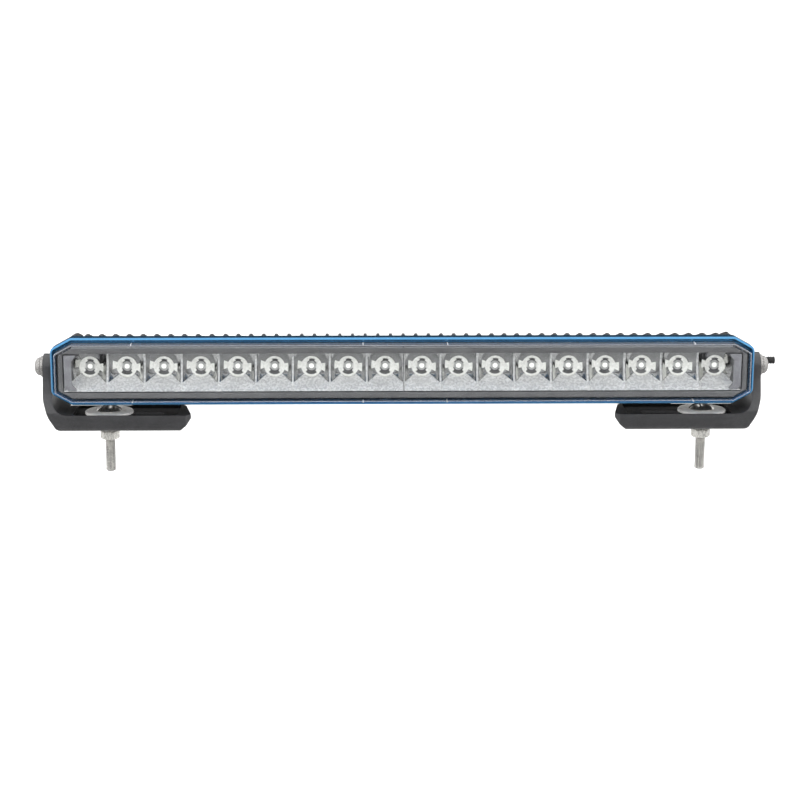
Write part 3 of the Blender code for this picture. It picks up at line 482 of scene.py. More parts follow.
def clear_plastic(name, tint, painted_sheen, painted_sheen_share):
    """Clear polycarbonate: see-through face on, glossy, and greyer towards its edges, where a pale
    diffuse mixed in by slant is a painted sheen.
    """
    material = bpy.data.materials.new(name)
    material.use_nodes = True
    tree = material.node_tree
    tree.nodes.remove(tree.nodes["Principled BSDF"])

    def first_output(kind, *values, **settings):
        return add_node(tree, kind, *values, **settings).outputs[0]

    where = add_node(tree, "ShaderNodeTexCoord").outputs["Object"]
    ripple = add_node(tree, "ShaderNodeTexNoise", Vector=where, Scale=60).outputs["Fac"]
    relief = first_output("ShaderNodeBump", Distance=0.02 * MM, Strength=0.3, Height=ripple)
    clear = first_output("ShaderNodeBsdfTransparent", Color=(*tint, 1))
    glossy = first_output("ShaderNodeBsdfGlossy", Roughness=0.03, Normal=relief)
    fresnel = first_output("ShaderNodeFresnel", IOR=1.50)
    inside = add_node(tree, "ShaderNodeNewGeometry").outputs["Backfacing"]
    # Nothing is mirrored on the way out of the plastic.
    mirror = first_output("ShaderNodeMath", fresnel, inside, operation="SUBTRACT", clamp=True)
    first = first_output("ShaderNodeMixShader", mirror, clear, glossy)
    # A diffuse colour mixed in towards the edges: a painted sheen for the light that the lens's
    # edges catch.
    slant = add_node(tree, "ShaderNodeLayerWeight", Blend=0.22).outputs["Facing"]
    share = first_output("ShaderNodeMath", slant, painted_sheen_share, operation="MULTIPLY", clamp=True)
    body = first_output("ShaderNodeBsdfDiffuse", Color=(*painted_sheen, 1))
    second = first_output("ShaderNodeMixShader", share, first, body)
    tree.links.new(second, tree.nodes["Material Output"].inputs["Surface"])
    return material


CAST = cast_black()
BRACKET = bracket_black()
BLUE = mottled(
    "anodised_blue",
    (700, 3, (0.06, 1, 1)),
    ((0.105, 0.370, 0.700), (0.150, 0.440, 0.790)),
    (0.16, 0.26, (700, 3, (0.06, 1, 1))),
    (0.01, 0.3, (900, 2)),
    stops=(0.30, 0.75),
    Metallic=0.95,
    Coat_Weight=0.5,
    Coat_Roughness=0.08,
)
# Vacuum-metallised plastic, with the slight ripple of a moulded mirror.
CHROME = mottled(
    "reflector_chrome",
    (120, 3),
    ((0.56, 0.56, 0.55), (0.64, 0.64, 0.63)),
    (0.06, 0.12, (500, 3)),
    (0.05, 0.5, (260, 1)),
    Metallic=1.0,
)
# The satin floor and ribs of a reflector, painted bright: a painted reflection of the light from
# above.
FLOOR_PAINTED_SHEEN = mottled(
    "reflector_floor_painted_sheen",
    (160, 3, (0.4, 1, 2)),
    ((0.50, 0.50, 0.495), (0.64, 0.64, 0.63)),
    (0.20, 0.34, (500, 3)),
    (0.5, 0.35, (90, 1, (0.3, 1, 1.6))),
    (0.02, 0.2, (400, 1)),
    Metallic=0.30,
    Coat_Weight=0.5,
    Coat_Roughness=0.12,
)
# The mirror close round an LED, painted pale: a painted reflection of the LED's own image.
CUP_PAINTED_REFLECTION = mottled(
    "reflector_cup_painted_reflection",
    (170, 3),
    ((0.72, 0.72, 0.67), (0.80, 0.80, 0.76)),
    (0.20, 0.34, (500, 3)),
    (0.06, 0.5, (300, 2)),
    Metallic=0.10,
    Coat_Weight=0.6,
    Coat_Roughness=0.10,
)
MASK = mottled(
    "mask_grey",
    (90, 4),
    ((0.090, 0.090, 0.091), (0.115, 0.115, 0.116)),
    (0.30, 0.42, (600, 2)),
    (0.02, 0.3, (2200, 1)),
    Metallic=0.0,
)
STEEL = stainless("stainless_steel", 0.20, 0.34, (0.70, 0.69, 0.65), metal=0.50)
STEEL_BRIGHT = stainless("stainless_bright", 0.12, 0.22, (0.78, 0.77, 0.74), metal=0.95)
# A darker copy of the stainless steel: painted shade on the washers under the feet and on the
# pivot bolts and washers.
STEEL_PAINTED_SHADE = stainless("stainless_painted_shade", 0.22, 0.34, (0.40, 0.39, 0.38))
# A near-white, barely metallic copy of the steel for the wide washers: painted light that keeps
# them bright under the lamp.
ZINC_PAINTED_LIGHT = stainless("zinc_plate_painted_light", 0.30, 0.42, (0.98, 0.96, 0.93), metal=0.10)
# Near black in the feet's channels: painted shade from the lamp above.
CHANNEL_PAINTED_SHADE = moulded("channel_painted_shade", (0.004, 0.004, 0.004), (0.008, 0.008, 0.008), 0.65, 0.85)
RUBBER = moulded("black_rubber", (0.010, 0.010, 0.010), (0.022, 0.022, 0.022), 0.60, 0.80)
NYLON = moulded("black_nylon", (0.014, 0.014, 0.014), (0.028, 0.028, 0.028), 0.38, 0.55)
SILICONE = moulded("grey_silicone", (0.05, 0.05, 0.05), (0.09, 0.09, 0.09), 0.55, 0.75)
PAD = moulded("thermal_pad", (0.28, 0.31, 0.35), (0.36, 0.40, 0.44), 0.7, 0.9)
LED_BOARD = board("led_board_white", (0.72, 0.72, 0.70), (0.50, 0.50, 0.47), 120)
DRIVER = board("driver_green", (0.012, 0.095, 0.030), (0.35, 0.24, 0.08), 220)
# The faint emission is a painted highlight: the phosphor glows so that it reads bright.
PHOSPHOR = mottled(
    "led_phosphor",
    (1500, 2),
    ((0.95, 0.95, 0.88), (0.98, 0.98, 0.94)),
    None,
    (0.01, 0.3, (3000, 2)),
    Metallic=0.0,
    Roughness=0.30,
    Coat_Weight=1.0,
    Coat_Roughness=0.04,
    Emission_Color=(1.0, 1.0, 0.96, 1.0),
    Emission_Strength=0.30,
)
CERAMIC = mottled(
    "led_ceramic",
    (1500, 3),
    ((0.40, 0.40, 0.39), (0.50, 0.50, 0.49)),
    None,
    (0.01, 0.3, (2500, 2)),
    Metallic=0.0,
    Roughness=0.35,
)
# Light grey on the lens's small ribs: a painted glint.
RIB_PAINTED_GLINT = moulded("lens_rib_painted_glint", (0.28, 0.29, 0.31), (0.36, 0.37, 0.39), 0.25, 0.40)
RIB = moulded("reflector_rib", (0.16, 0.16, 0.17), (0.22, 0.22, 0.23), 0.15, 0.25)
# Dark grey on the reflector round the LED and at the cell walls' outer ends: painted shade and
# painted dark reflection.
PAINTED_SHADE_GREY = moulded("reflector_painted_shade", (0.06, 0.06, 0.06), (0.11, 0.11, 0.11), 0.25, 0.40)
PLASTIC_TINT = (0.97, 0.975, 0.98)
# The lens's rounded front edge gets a paler painted sheen than the rest of the lens.
LENS_EDGE = clear_plastic("lens_edge_painted_sheen", PLASTIC_TINT, (0.46, 0.48, 0.53), 1.3)
LENS = clear_plastic("clear_polycarbonate", PLASTIC_TINT, (0.20, 0.21, 0.235), 0.45)


# ---------------------------------------------------------------- lamp: casing


def fin_outline(rise=0.0):
    front = -10.0 * MM
    upper = [
        (front, 26.1 * MM + rise, 1.0 * MM),
        (0.0, 25.3 * MM + rise, 3 * MM),
        (20.0 * MM + rise, 20.0 * MM + rise, 3 * MM),
        (32.0 * MM + rise, 11.5 * MM, 4 * MM),
    ]
    lower = [(y, -z, radius) for y, z, radius in reversed(upper)]
    return rounded(upper + lower, 5)


FIN_HALF = 1.2 * MM
INNER_FINS = [9.75 * MM * i for i in range(15)]
OUTER_FINS = [INNER_FINS[-1] + 10.54 * MM * i for i in range(1, 11)]
FIN_PLACES = sorted({s * x for x in INNER_FINS + OUTER_FINS for s in (-1, 1)})
END_BLOCK = (248.8 * MM, 266.8 * MM)
BOSS_FACE = 267.4 * MM
BLOCK_RISE = 0.8 * MM
BOSS_RADIUS = 11.0 * MM
BLOCK_CLIP = (16.8 * MM, 15.0 * MM)
BLOCK_CUT = 240 * MM  # well inside the end blocks
HOUSING_REAR = 32.8 * MM
VENT_FACE = 28.4 * MM
GLAND_DEPTH = 17.4 * MM
PIVOT_BORE = 4.25 * MM
SMALL_EDGE = 0.3 * MM


def end_block(sign):
    """One end of the finned part, which follows the ring's slanted corners."""
    inner, outer = END_BLOCK
    span = sorted((sign * inner, sign * outer))
    block = solid("block", "YZ", fin_outline(BLOCK_RISE), span, 0.5 * MM)
    top = RING_HALF_HEIGHT + BLOCK_RISE
    upper = [
        (sign * BLOCK_CUT, RING_HALF_HEIGHT + 2 * MM),
        (sign * (outer - BLOCK_CLIP[0]), top, 3 * MM),
        (sign * outer, top - BLOCK_CLIP[1], 3 * MM),
    ]
    lower = [(x, -z, *radius) for x, z, *radius in reversed(upper)]
    front = solid("front", "XZ", rounded(upper + lower), (-0.02, 0.05))
    slant = 10 * MM
    plan = [
        (sign * BLOCK_CUT, -20 * MM),
        (sign * outer, -20 * MM),
        (sign * outer, HOUSING_REAR - slant, 4 * MM),
        (sign * (outer - slant), HOUSING_REAR, 4 * MM),
        (sign * BLOCK_CUT, HOUSING_REAR),
    ]
    carve(block, "INTERSECT", front, solid("plan", "XY", rounded(plan), (-0.03, 0.03)))
    return bevelled(block, 0.5 * MM, 2, 40)


def make_housing():
    front = LENS_REAR + 1.6 * MM
    flange = RING_REAR + GAP
    section = [
        (SPIGOT_INSET + SMALL_EDGE, front),
        (SPIGOT_INSET, front + SMALL_EDGE),
        (SPIGOT_INSET, flange),
        (1.1 * MM, flange),
        (0.8 * MM, flange + SMALL_EDGE),
        (0.8 * MM, -9.4 * MM),
        (1.2 * MM, -9.0 * MM),
        (4.4 * MM, -9.0 * MM),
        (5.0 * MM, -8.4 * MM),
        (5.0 * MM, -1.9 * MM),
        (5.6 * MM, -1.3 * MM),
    ]
    bm = bmesh.new()
    swept(bm, section)
    core = to_object("core", bm)
    fins = bmesh.new()
    for x in FIN_PLACES:
        prism(fins, "YZ", fin_outline(), (x - FIN_HALF, x + FIN_HALF), 0.5 * MM, 3)
    driver_case = rectangle(-62 * MM, 62 * MM, 13 * MM, 3 * MM)
    shell = solid("shell", "XZ", driver_case, (-3 * MM, 14 * MM), 0.8 * MM)
    carve(core, "UNION", to_object("fins", fins), shell)
    boss_profile = [
        (BOSS_RADIUS, 255 * MM),
        (BOSS_RADIUS, BOSS_FACE - SMALL_EDGE),
        (BOSS_RADIUS - SMALL_EDGE, BOSS_FACE),
    ]
    for sign in SIDES.values():
        boss = turned("boss", lathe(boss_profile), OUTWARDS[sign])
        carve(core, "UNION", end_block(sign), boss)
    vent = [(7.4 * MM, 10 * MM), (7.4 * MM, VENT_FACE - 0.4 * MM), (7.0 * MM, VENT_FACE)]
    carve(core, "UNION", turned("vent_boss", lathe(vent), TO_Y))
    to_gland = Matrix.Translation((0, GLAND_DEPTH, 0)) @ TO_X
    cuts = [
        solid("cavity", "XZ", lamp_outline(7 * MM), (-30 * MM, -6.3 * MM)),
        cylinder("recess", 8.0 * MM, VENT_FACE, 40 * MM, TO_Y, 48),
        cylinder("bore", 3.3 * MM, 22 * MM, 30 * MM, TO_Y),
        cylinder("gland_bore", 3.7 * MM, 250 * MM, 277 * MM, to_gland),
    ]
    for sign in SIDES.values():
        cuts.append(cylinder("pivot_bore", PIVOT_BORE, 249 * MM, 280 * MM, OUTWARDS[sign]))
    carve(core, "DIFFERENCE", *cuts)
    core.name = "finned_housing"
    core.data.transform(Matrix.Translation(AXIS))
    return piece(core, "lamp", CAST, ["housing"], 40)


def make_ring():
    lip_inset = 3.9 * MM
    lip_front = -20.0 * MM
    lip_rear = LENS_REAR - LENS_FLANGE - GAP
    chamfer = 1.15 * MM
    soft = 0.25 * MM
    section = [
        (0.0, RING_REAR),
        (0.0, RING_FRONT + chamfer + soft),
        (0.25 * soft, RING_FRONT + chamfer + 0.1 * soft),
        (0.9 * soft, RING_FRONT + chamfer - 0.9 * soft),
        (chamfer - 0.9 * soft, RING_FRONT + 0.9 * soft),
        (chamfer + 0.1 * soft, RING_FRONT + 0.25 * soft),
        (chamfer + soft, RING_FRONT),
        *rounded_edge(RING_WALL, RING_FRONT, -0.3 * MM, 4),
        (RING_WALL, lip_front),
        (lip_inset, lip_front),
        (lip_inset, lip_rear),
        (RING_WALL, lip_rear),
        (RING_WALL, RING_REAR),
    ]
    bm = bmesh.new()
    swept(bm, section, ring=True, steps=10)
    place(bm, Matrix.Translation(AXIS))
    return piece(to_object("blue_trim_ring", bm), "lamp", BLUE, ["trim_ring"], 30)


RIB_PLACES = (-206 * MM, -31 * MM, 33 * MM, 221 * MM)  # of the lens's ribs, painted light grey as a painted glint, along X
RIB_HALF = 0.4 * MM
RIB_RISE = 0.7 * MM


def make_lens():
    bm = bmesh.new()
    flange_front = LENS_REAR - LENS_FLANGE
    inner = LENS_INSET + LENS_WALL
    edge_steps = 5
    section = rounded_edge(LENS_INSET, LENS_FRONT, 1.3 * MM, edge_steps) + [
        (LENS_INSET, flange_front),
        (SPIGOT_INSET + 0.2 * MM, flange_front),
        (SPIGOT_INSET, flange_front + 0.2 * MM),
        (SPIGOT_INSET, LENS_REAR),
        (inner, LENS_REAR),
        (inner, LENS_FRONT + 3.3 * MM),
        (inner + 0.3 * MM, LENS_FRONT + 3.0 * MM),
    ]
    swept(bm, section, steps=10)
    bm.faces.ensure_lookup_table()
    # The rounded front edge takes the paler painted sheen.
    for face in bm.faces[: len(lamp_outline(0.0, 10)) * edge_steps]:
        face.material_index = 2
    smooth = len(bm.faces)
    face_height = RING_HALF_HEIGHT - LENS_INSET
    span = (LENS_FRONT + 1.6 * MM, RING_FRONT - 0.6 * MM)
    for x in RIB_PLACES:
        for sign in (1, -1):
            root = sign * (face_height - 0.2 * MM)
            crest = sign * (face_height + RIB_RISE)
            low_x, high_x = x - RIB_HALF, x + RIB_HALF
            corners = ((low_x, root), (high_x, root), (high_x, crest), (low_x, crest))
            prism(bm, "XZ", [Vector(corner) for corner in corners], span, 0.1 * MM)
    # The ribs get the light grey painted glint.
    for face in list(bm.faces)[smooth:]:
        face.material_index = 1
    place(bm, Matrix.Translation(AXIS))
    return piece(
        to_object("clear_lens", bm), "lamp", [LENS, RIB_PAINTED_GLINT, LENS_EDGE], ["lens"], 30
    )


def make_mask():
    """A frame whose window has a rounded lip."""
    steps = 6
    outer = lamp_outline(LENS_INSET + LENS_WALL + GAP, steps)

    def window(grow):
        half_u, half_v = 258.0 * MM + grow, 14.9 * MM + grow
        return rectangle(-half_u, half_u, half_v, 1.4 * MM, 2 * steps + 1)

    levels = [
        (outer, MASK_REAR),
        (outer, MASK_FRONT),
        (window(0.5 * MM), MASK_FRONT),
        (window(0.15 * MM), MASK_FRONT + 0.15 * MM),
        (window(0.0), MASK_FRONT + 0.5 * MM),
        (window(0.0), MASK_REAR),
    ]
    bm = bmesh.new()
    loft(bm, [[(u, y, v) for u, v in outline] for outline, y in levels], ring=True)
    place(bm, Matrix.Translation(AXIS))
    return piece(to_object("mask_frame", bm), "lamp", MASK, ["reflector_mask"], 30)


# ---------------------------------------------------------------- lamp: optics

CELL_PITCH = LED_CENTRES[1].x - LED_CENTRES[0].x
LED_RISE = LED_CENTRES[0].z - AXIS.z
CUP_RADIUS = 7.9 * MM
CUP_FOCUS = 6.9 * MM
CUP_VERTEX = -9.35 * MM
FLARE_FOCUS = {"down": 5.6 * MM, "up": 14.0 * MM}
WALL_APEX = 24.3 * MM
HOLE_RADIUS = 3.7 * MM
RIDGE = 0.8 * MM  # half the width of the rib between two cells
RIM_LIP = 0.4 * MM  # left between a cell's rim and the window's edge
WINDOW_END = 257.7 * MM
RIM_STEPS = (10, 12)
HOLE_BANDS = range(1, 3)
CUP_BANDS = range(3, 8)
FLARE_BANDS = range(8, 14)
WALL_BANDS = range(14, 19)
# The bow-tie shaped rib: its waist, its outer side and its flared end along X, then the
# heights of its waist and of its end.
TIE_RIB = (251.5 * MM, 257.3 * MM, 247.8 * MM, 9.0 * MM, 13.6 * MM)
# What a face of a reflector shows: chrome, the floor's painted reflection, painted shade, the
# cup's painted reflection or the rib.
MIRROR, FLOOR, PAINTED_SHADE, PAINTED_REFLECTION, TIE = range(5)


def cup_depth(r):
    return CUP_VERTEX - r * r / (4 * CUP_FOCUS)


def flare_depth(direction, distance):
    """A bowl round the cup that is shallower towards the top."""
    upwards = max(direction[1], 0.0)
    focus = FLARE_FOCUS["down"] + (FLARE_FOCUS["up"] - FLARE_FOCUS["down"]) * upwards
    return cup_depth(CUP_RADIUS) - (distance**2 - CUP_RADIUS**2) / (4 * focus)


def cell_rim(low_x, high_x, low_z, high_z):
    """Points round a cell's rim, from the lower left corner, each with the side it is on."""
    side_steps, flat_steps = RIM_STEPS
    rim = []
    for i in range(flat_steps):
        rim.append((low_x + (high_x - low_x) * i / flat_steps, low_z, "bottom"))
    for i in range(side_steps):
        rim.append((high_x, low_z + (high_z - low_z) * i / side_steps, "high"))
    for i in range(flat_steps):
        rim.append((high_x - (high_x - low_x) * i / flat_steps, high_z, "top"))
    for i in range(side_steps):
        rim.append((low_x, high_z - (high_z - low_z) * i / side_steps, "low"))
    return rim


def crossing(direction, start, end, walls):
    """The distance along a ray at which a wall comes in front of the flare, or the end."""
    steps = 60
    for i in range(steps + 1):
        distance = start + (end - start) * i / steps
        if wall_depth(direction, distance, walls) < flare_depth(direction, distance):
            return distance
    return end


def cell_share(direction, walls):
    x, z = direction
    shares = [0.0]
    if walls["low"]:
        shares.append(x / walls["low"])
    if walls["high"]:
        shares.append(x / walls["high"])
    shares.append(z / walls["bottom"])
    return max(shares)


def wall_depth(direction, distance, walls):
    return REFLECTOR_FRONT + WALL_APEX * (1 - distance * cell_share(direction, walls))


def mirror_depth(direction, distance, walls):
    if distance <= CUP_RADIUS:
        return cup_depth(distance)
    depth = min(flare_depth(direction, distance), wall_depth(direction, distance, walls))
    return max(depth, REFLECTOR_FRONT)


def add_cell(bm, centre_x, low_x, high_x, walls):
    """One cell's mirror, hole and back, from the hole out to its rim."""
    high_z = REFLECTOR_HALF_HEIGHT - LED_RISE - RIM_LIP
    rim = cell_rim(low_x, high_x, walls["bottom"], high_z)
    rays = []
    for x, z, _ in rim:
        reach = math.hypot(x, z)
        direction = (x / reach, z / reach)
        crease = crossing(direction, CUP_RADIUS + 0.05 * MM, reach, walls)
        rays.append((direction, reach, crease))

    def point(direction, distance, y=None):
        if y is None:
            y = mirror_depth(direction, distance, walls)
        x, z = direction
        return (centre_x + x * distance, y, LED_RISE + z * distance)

    loops = [
        [point(direction, reach, REFLECTOR_REAR) for direction, reach, _ in rays],
        [point(direction, HOLE_RADIUS, REFLECTOR_REAR) for direction, _, _ in rays],
    ]
    for i in range(7):
        radius = HOLE_RADIUS + (CUP_RADIUS - HOLE_RADIUS) * i / 6
        loops.append([point(direction, radius) for direction, _, _ in rays])
    for i in range(1, 7):
        part = i / 6
        loops.append([point(d, CUP_RADIUS + (end - CUP_RADIUS) * part) for d, _, end in rays])
    for i in range(1, 6):
        loops.append([point(d, crease + (reach - crease) * i / 5) for d, reach, crease in rays])
    made = [[bm.verts.new(corner) for corner in loop] for loop in loops]
    for band, (near, far) in enumerate(zip(made, made[1:])):
        for i in range(len(near)):
            face = bm.faces.new((near[i - 1], near[i], far[i], far[i - 1]))
            face.material_index = zone(band, rays[i][0], walls)
    return made[-1]


def zone(band, direction, walls):
    """The material of a face, by its band from the hole outwards and its direction."""
    level = abs(direction[1])
    # The hole's wall and the faces above and below the LED get painted shade.
    if band in HOLE_BANDS:
        return PAINTED_REFLECTION if level < 0.5 and band > 1 else PAINTED_SHADE
    # The cup is a pale painted reflection, with painted shade just below and above the LED.
    if band in CUP_BANDS:
        below = direction[1] < -0.72 and band < 6
        above = direction[1] > 0.90 and band < 5
        return PAINTED_SHADE if below or above else PAINTED_REFLECTION
    # Flare faces near the level get the pale painted reflection too.
    if band in FLARE_BANDS:
        return PAINTED_REFLECTION if level < 0.30 and band < 11 else MIRROR
    on_floor = direction[1] / walls["bottom"] >= cell_share(direction, walls) - 1e-9
    # The outer wall bands off the floor get painted shade.
    if band in WALL_BANDS and not on_floor:
        return MIRROR if band < 16 else PAINTED_SHADE
    return FLOOR if band in WALL_BANDS else MIRROR


def add_ridge(bm, left_rim, right_rim, x):
    """A rib between two cells, or beside one cell where the other rim is missing."""
    side_steps, flat_steps = RIM_STEPS
    count = 2 * (side_steps + flat_steps)
    edges = []
    if left_rim:
        edges.append([left_rim[flat_steps + i] for i in range(side_steps + 1)])
    if right_rim:
        edges.append([right_rim[(count - i) % count] for i in range(side_steps + 1)])
    crest = [bm.verts.new((x, v.co.y - 0.5 * MM, v.co.z)) for v in edges[0]]
    for edge in edges:
        for i in range(side_steps):
            face = bm.faces.new((edge[i], edge[i + 1], crest[i + 1], crest[i]))
            # The ribs take the floor's painted reflection.
            face.material_index = FLOOR


def tie_outline(sign):
    """The bow-tie shaped rib across a reflector's outer end."""
    inner, outer, flared, waist, end = TIE_RIB
    half = [(outer, 0.0), (outer, end), (flared, end), (inner, waist)]
    corners = half + [(x, -z) for x, z in reversed(half[1:])]
    return rounded([(sign * x, z, 0.4 * MM) for x, z in corners], 2)


def make_reflector(side):
    sign = SIDES[side]
    bm = bmesh.new()
    half = CELL_PITCH / 2
    centres = sorted(led.x for led in LED_CENTRES if led.x * sign > 0)
    outermost = max(centres, key=abs)
    low_z = RIM_LIP - REFLECTOR_HALF_HEIGHT - LED_RISE
    rims = []
    for x in centres:
        low_x, high_x = -half + RIDGE, half - RIDGE
        walls = {"low": None, "high": None, "bottom": low_z}
        if x == outermost:
            end = WINDOW_END - RIM_LIP - abs(x)
            if sign > 0:
                high_x = walls["high"] = end
            else:
                low_x = walls["low"] = -end
        rims.append(add_cell(bm, x, low_x, high_x, walls))
    for i in range(len(centres) - 1):
        add_ridge(bm, rims[i], rims[i + 1], centres[i] + half)
    seam = (None, rims[0]) if sign > 0 else (rims[-1], None)
    add_ridge(bm, *seam, sign * 0.25 * MM)
    first = len(bm.faces)
    prism(bm, "XZ", tie_outline(sign), (REFLECTOR_FRONT, REFLECTOR_FRONT + 3 * MM), 0.4 * MM)
    for face in list(bm.faces)[first:]:
        face.material_index = TIE
    place(bm, Matrix.Translation(AXIS))
    looks = [CHROME, FLOOR_PAINTED_SHEEN, PAINTED_SHADE_GREY, CUP_PAINTED_REFLECTION, RIB]
    obj = to_object(f"mirror_module_{side}", bm)
    return piece(obj, "lamp", looks, [f"reflector_{side}"], 28)


def make_led():
    """A square ceramic package with a dome of phosphor."""
    base_front = LED_REAR - 1.0 * MM
    half = 2.5 * MM
    radius = 2.0 * MM
    height = base_front - LED_FRONT
    bm = bmesh.new()
    outline = rectangle(-half, half, half, 0.2 * MM, 3)
    prism(bm, "XZ", outline, (base_front, LED_REAR), 0.12 * MM)
    for face in bm.faces:
        face.material_index = 1
    before = set(bm.faces)
    dome = [(radius * math.cos(a), height * math.sin(a)) for a in right_angle(8)[:-1]]
    rows = lathe([(radius, -0.1 * MM)] + dome, 28)
    to_front = Matrix.Translation((0, base_front, 0)) @ TO_MINUS_Y
    loft(bm, [[to_front @ Vector(point) for point in row] for row in rows])
    for face in set(bm.faces) - before:
        face.material_index = 0
    return to_object("led_master", bm)


def make_leds():
    master = make_led()
    for number, centre in enumerate(LED_CENTRES, 1):
        obj = bpy.data.objects.new(f"emitter_{number:02d}", master.data.copy())
        obj.location = (centre.x, 0, centre.z)
        bpy.context.scene.collection.objects.link(obj)
        piece(obj, "lamp", [PHOSPHOR, CERAMIC], [f"led_{number:02d}"], 40)
    bpy.data.objects.remove(master)


# ---------------------------------------------------------------- fasteners


def thread_loops(start, end, radius=3.95 * MM, pitch=1.25 * MM, count=48):
    """Loops down an M8 thread's shank, from start to end along Z."""
    rows = max(int(abs(end - start) / pitch * 8), 1)
    loops = []
    for row in range(rows + 1):
        z = start + (end - start) * row / rows
        fade = min(1.0, row / 8, (rows - row) / 5)

        def thread(angle, size):
            phase = (z / pitch - angle / (2 * math.pi)) % 1.0
            tooth = min(1.0, max(0.0, abs(phase - 0.5) * 2 * 1.25 - 0.12))
            return size - 0.55 * MM * tooth * fade

        loops.append(circle(radius, z, count, thread))
    return loops


def domed(radius, base, height, steps):
    """(radius, height) rows of a shallow dome from near its crown down to its rim."""
    sphere = (radius**2 + height**2) / (2 * height)
    rim = math.asin(min(radius / sphere, 1.0))
    centre = base + height - sphere
    angles = [rim * i / steps for i in range(1, steps + 1)]
    return [(sphere * math.sin(a), centre + sphere * math.cos(a)) for a in angles]


def washer_loops(bore, radius, low, high, edge, count=48):
    """A washer with soft edges, open round its bore."""
    return lathe(
        [
            (bore + edge, high),
            (radius - edge, high),
            (radius, high - edge),
            (radius, low + edge),
            (radius - edge, low),
            (bore + edge, low),
            (bore, low + edge),
            (bore, high - edge),
        ],
        count,
    )


def stack(name, loops, body, material, node, matrix, ring=False, angle=35):
    """A visible piece of loops that are stacked along Z, moved by a matrix."""
    return piece(turned(name, loops, matrix, ring), body, material, [node], angle)


M8_SHANK = 3.95 * MM
M8_TIP = 2.9 * MM
M8_BORE = 4.25 * MM
M8_WASHER = 8.0 * MM


def make_mounting(side):
    """The hardware of one foot: the cup-head bolt, its washers and its nut."""
    body = f"{side}_mount_bolt"
    bolt_low, bolt_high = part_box(f"{side}_carriage_bolt")
    centre = Vector(((bolt_low.x + bolt_high.x) / 2, (bolt_low.y + bolt_high.y) / 2, 0))
    matrix = Matrix.Translation(centre)
    low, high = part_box(f"{side}_slot_washer")
    head = high.z + GAP
    rim = head + 0.5 * MM
    cup = 10.0 * MM
    profile = domed(cup, rim, bolt_high.z - head - 0.5 * MM, 9) + [
        (cup, head + 0.2 * MM),
        (cup - 0.2 * MM, head),
        (4.6 * MM, head, square),
        (4.0 * MM, head - 0.3 * MM, square),
        (4.0 * MM, head - 4.2 * MM, square),
        (M8_SHANK, head - 4.6 * MM),
    ]
    loops = lathe(profile) + thread_loops(head - 5.0 * MM, bolt_low.z + 1.0 * MM)
    loops += lathe([(M8_TIP, bolt_low.z)])
    node = f"{side}_carriage_bolt"
    stack(f"cup_bolt_{side}", loops, body, STEEL_BRIGHT, node, matrix)
    loops = washer_loops(6.0 * MM, 18.5 * MM, low.z, high.z, 0.3 * MM, 72)
    node = f"{side}_slot_washer"
    stack(f"wide_washer_{side}", loops, body, ZINC_PAINTED_LIGHT, node, matrix, ring=True)
    node = f"{side}_flat_washer"
    low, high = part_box(node)
    loops = washer_loops(M8_BORE, M8_WASHER, low.z, high.z, 0.25 * MM)
    stack(f"flat_washer_{side}", loops, body, STEEL_PAINTED_SHADE, node, matrix, ring=True)
    make_spring_washer(side, centre, body)
    make_nut(side, matrix, body)


def make_spring_washer(side, centre, body):
    """A square-section coil of one turn, its ends a little apart."""
    low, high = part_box(f"{side}_spring_washer")
    bm = bmesh.new()
    bore, radius = 4.25 * MM, 7.0 * MM
    lift = 0.25 * MM
    edge = 0.2 * MM
    section = [
        (bore + edge, 1), (radius - edge, 1), (radius, 1 - edge), (radius, edge),
        (radius - edge, 0), (bore + edge, 0), (bore, edge), (bore, 1 - edge),
    ]
    thickness = high.z - low.z - lift
    loops = []
    steps = 44
    for step in range(steps + 1):
        share = step / steps
        angle = math.radians(5 + 350 * share)
        base = low.z + lift * share
        loop = []
        for r, level in section:
            if level in (0, 1):
                z = base + thickness * level
            elif level < 0.5:
                z = base + level
            else:
                z = base + thickness - edge
            loop.append((r * math.cos(angle), r * math.sin(angle), z))
        loops.append(loop)
    loft(bm, loops)
    place(bm, Matrix.Translation(centre))
    obj = to_object(f"spring_washer_{side}_coil", bm)
    return piece(obj, body, STEEL_PAINTED_SHADE, [f"{side}_spring_washer"], 40)


def make_nut(side, matrix, body):
    """An M8 nut whose corners are chamfered at both ends."""
    low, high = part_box(f"{side}_hex_nut")
    half_flats = 6.5 * MM
    count = 72
    bevel = 0.65 * MM
    bore = 4.1 * MM
    edge = 0.4 * MM

    def chamfered(z):
        limit = half_flats - 0.15 * MM + min(z - low.z, high.z - z) * 1.7
        return circle(half_flats, z, count, lambda angle, size: min(hexagon(angle, size), limit))

    steps = [bevel * i / 4 for i in range(5)]
    levels = [high.z - step for step in steps] + [low.z + step for step in reversed(steps)]
    loops = lathe([(bore + edge, high.z)], count) + [chamfered(z) for z in levels]
    loops += lathe([(bore + edge, low.z), (bore, low.z + edge), (bore, high.z - edge)], count)
    name = f"hex_nut_{side}_m8"
    node = f"{side}_hex_nut"
    stack(name, loops, body, STEEL, node, matrix, ring=True, angle=25)


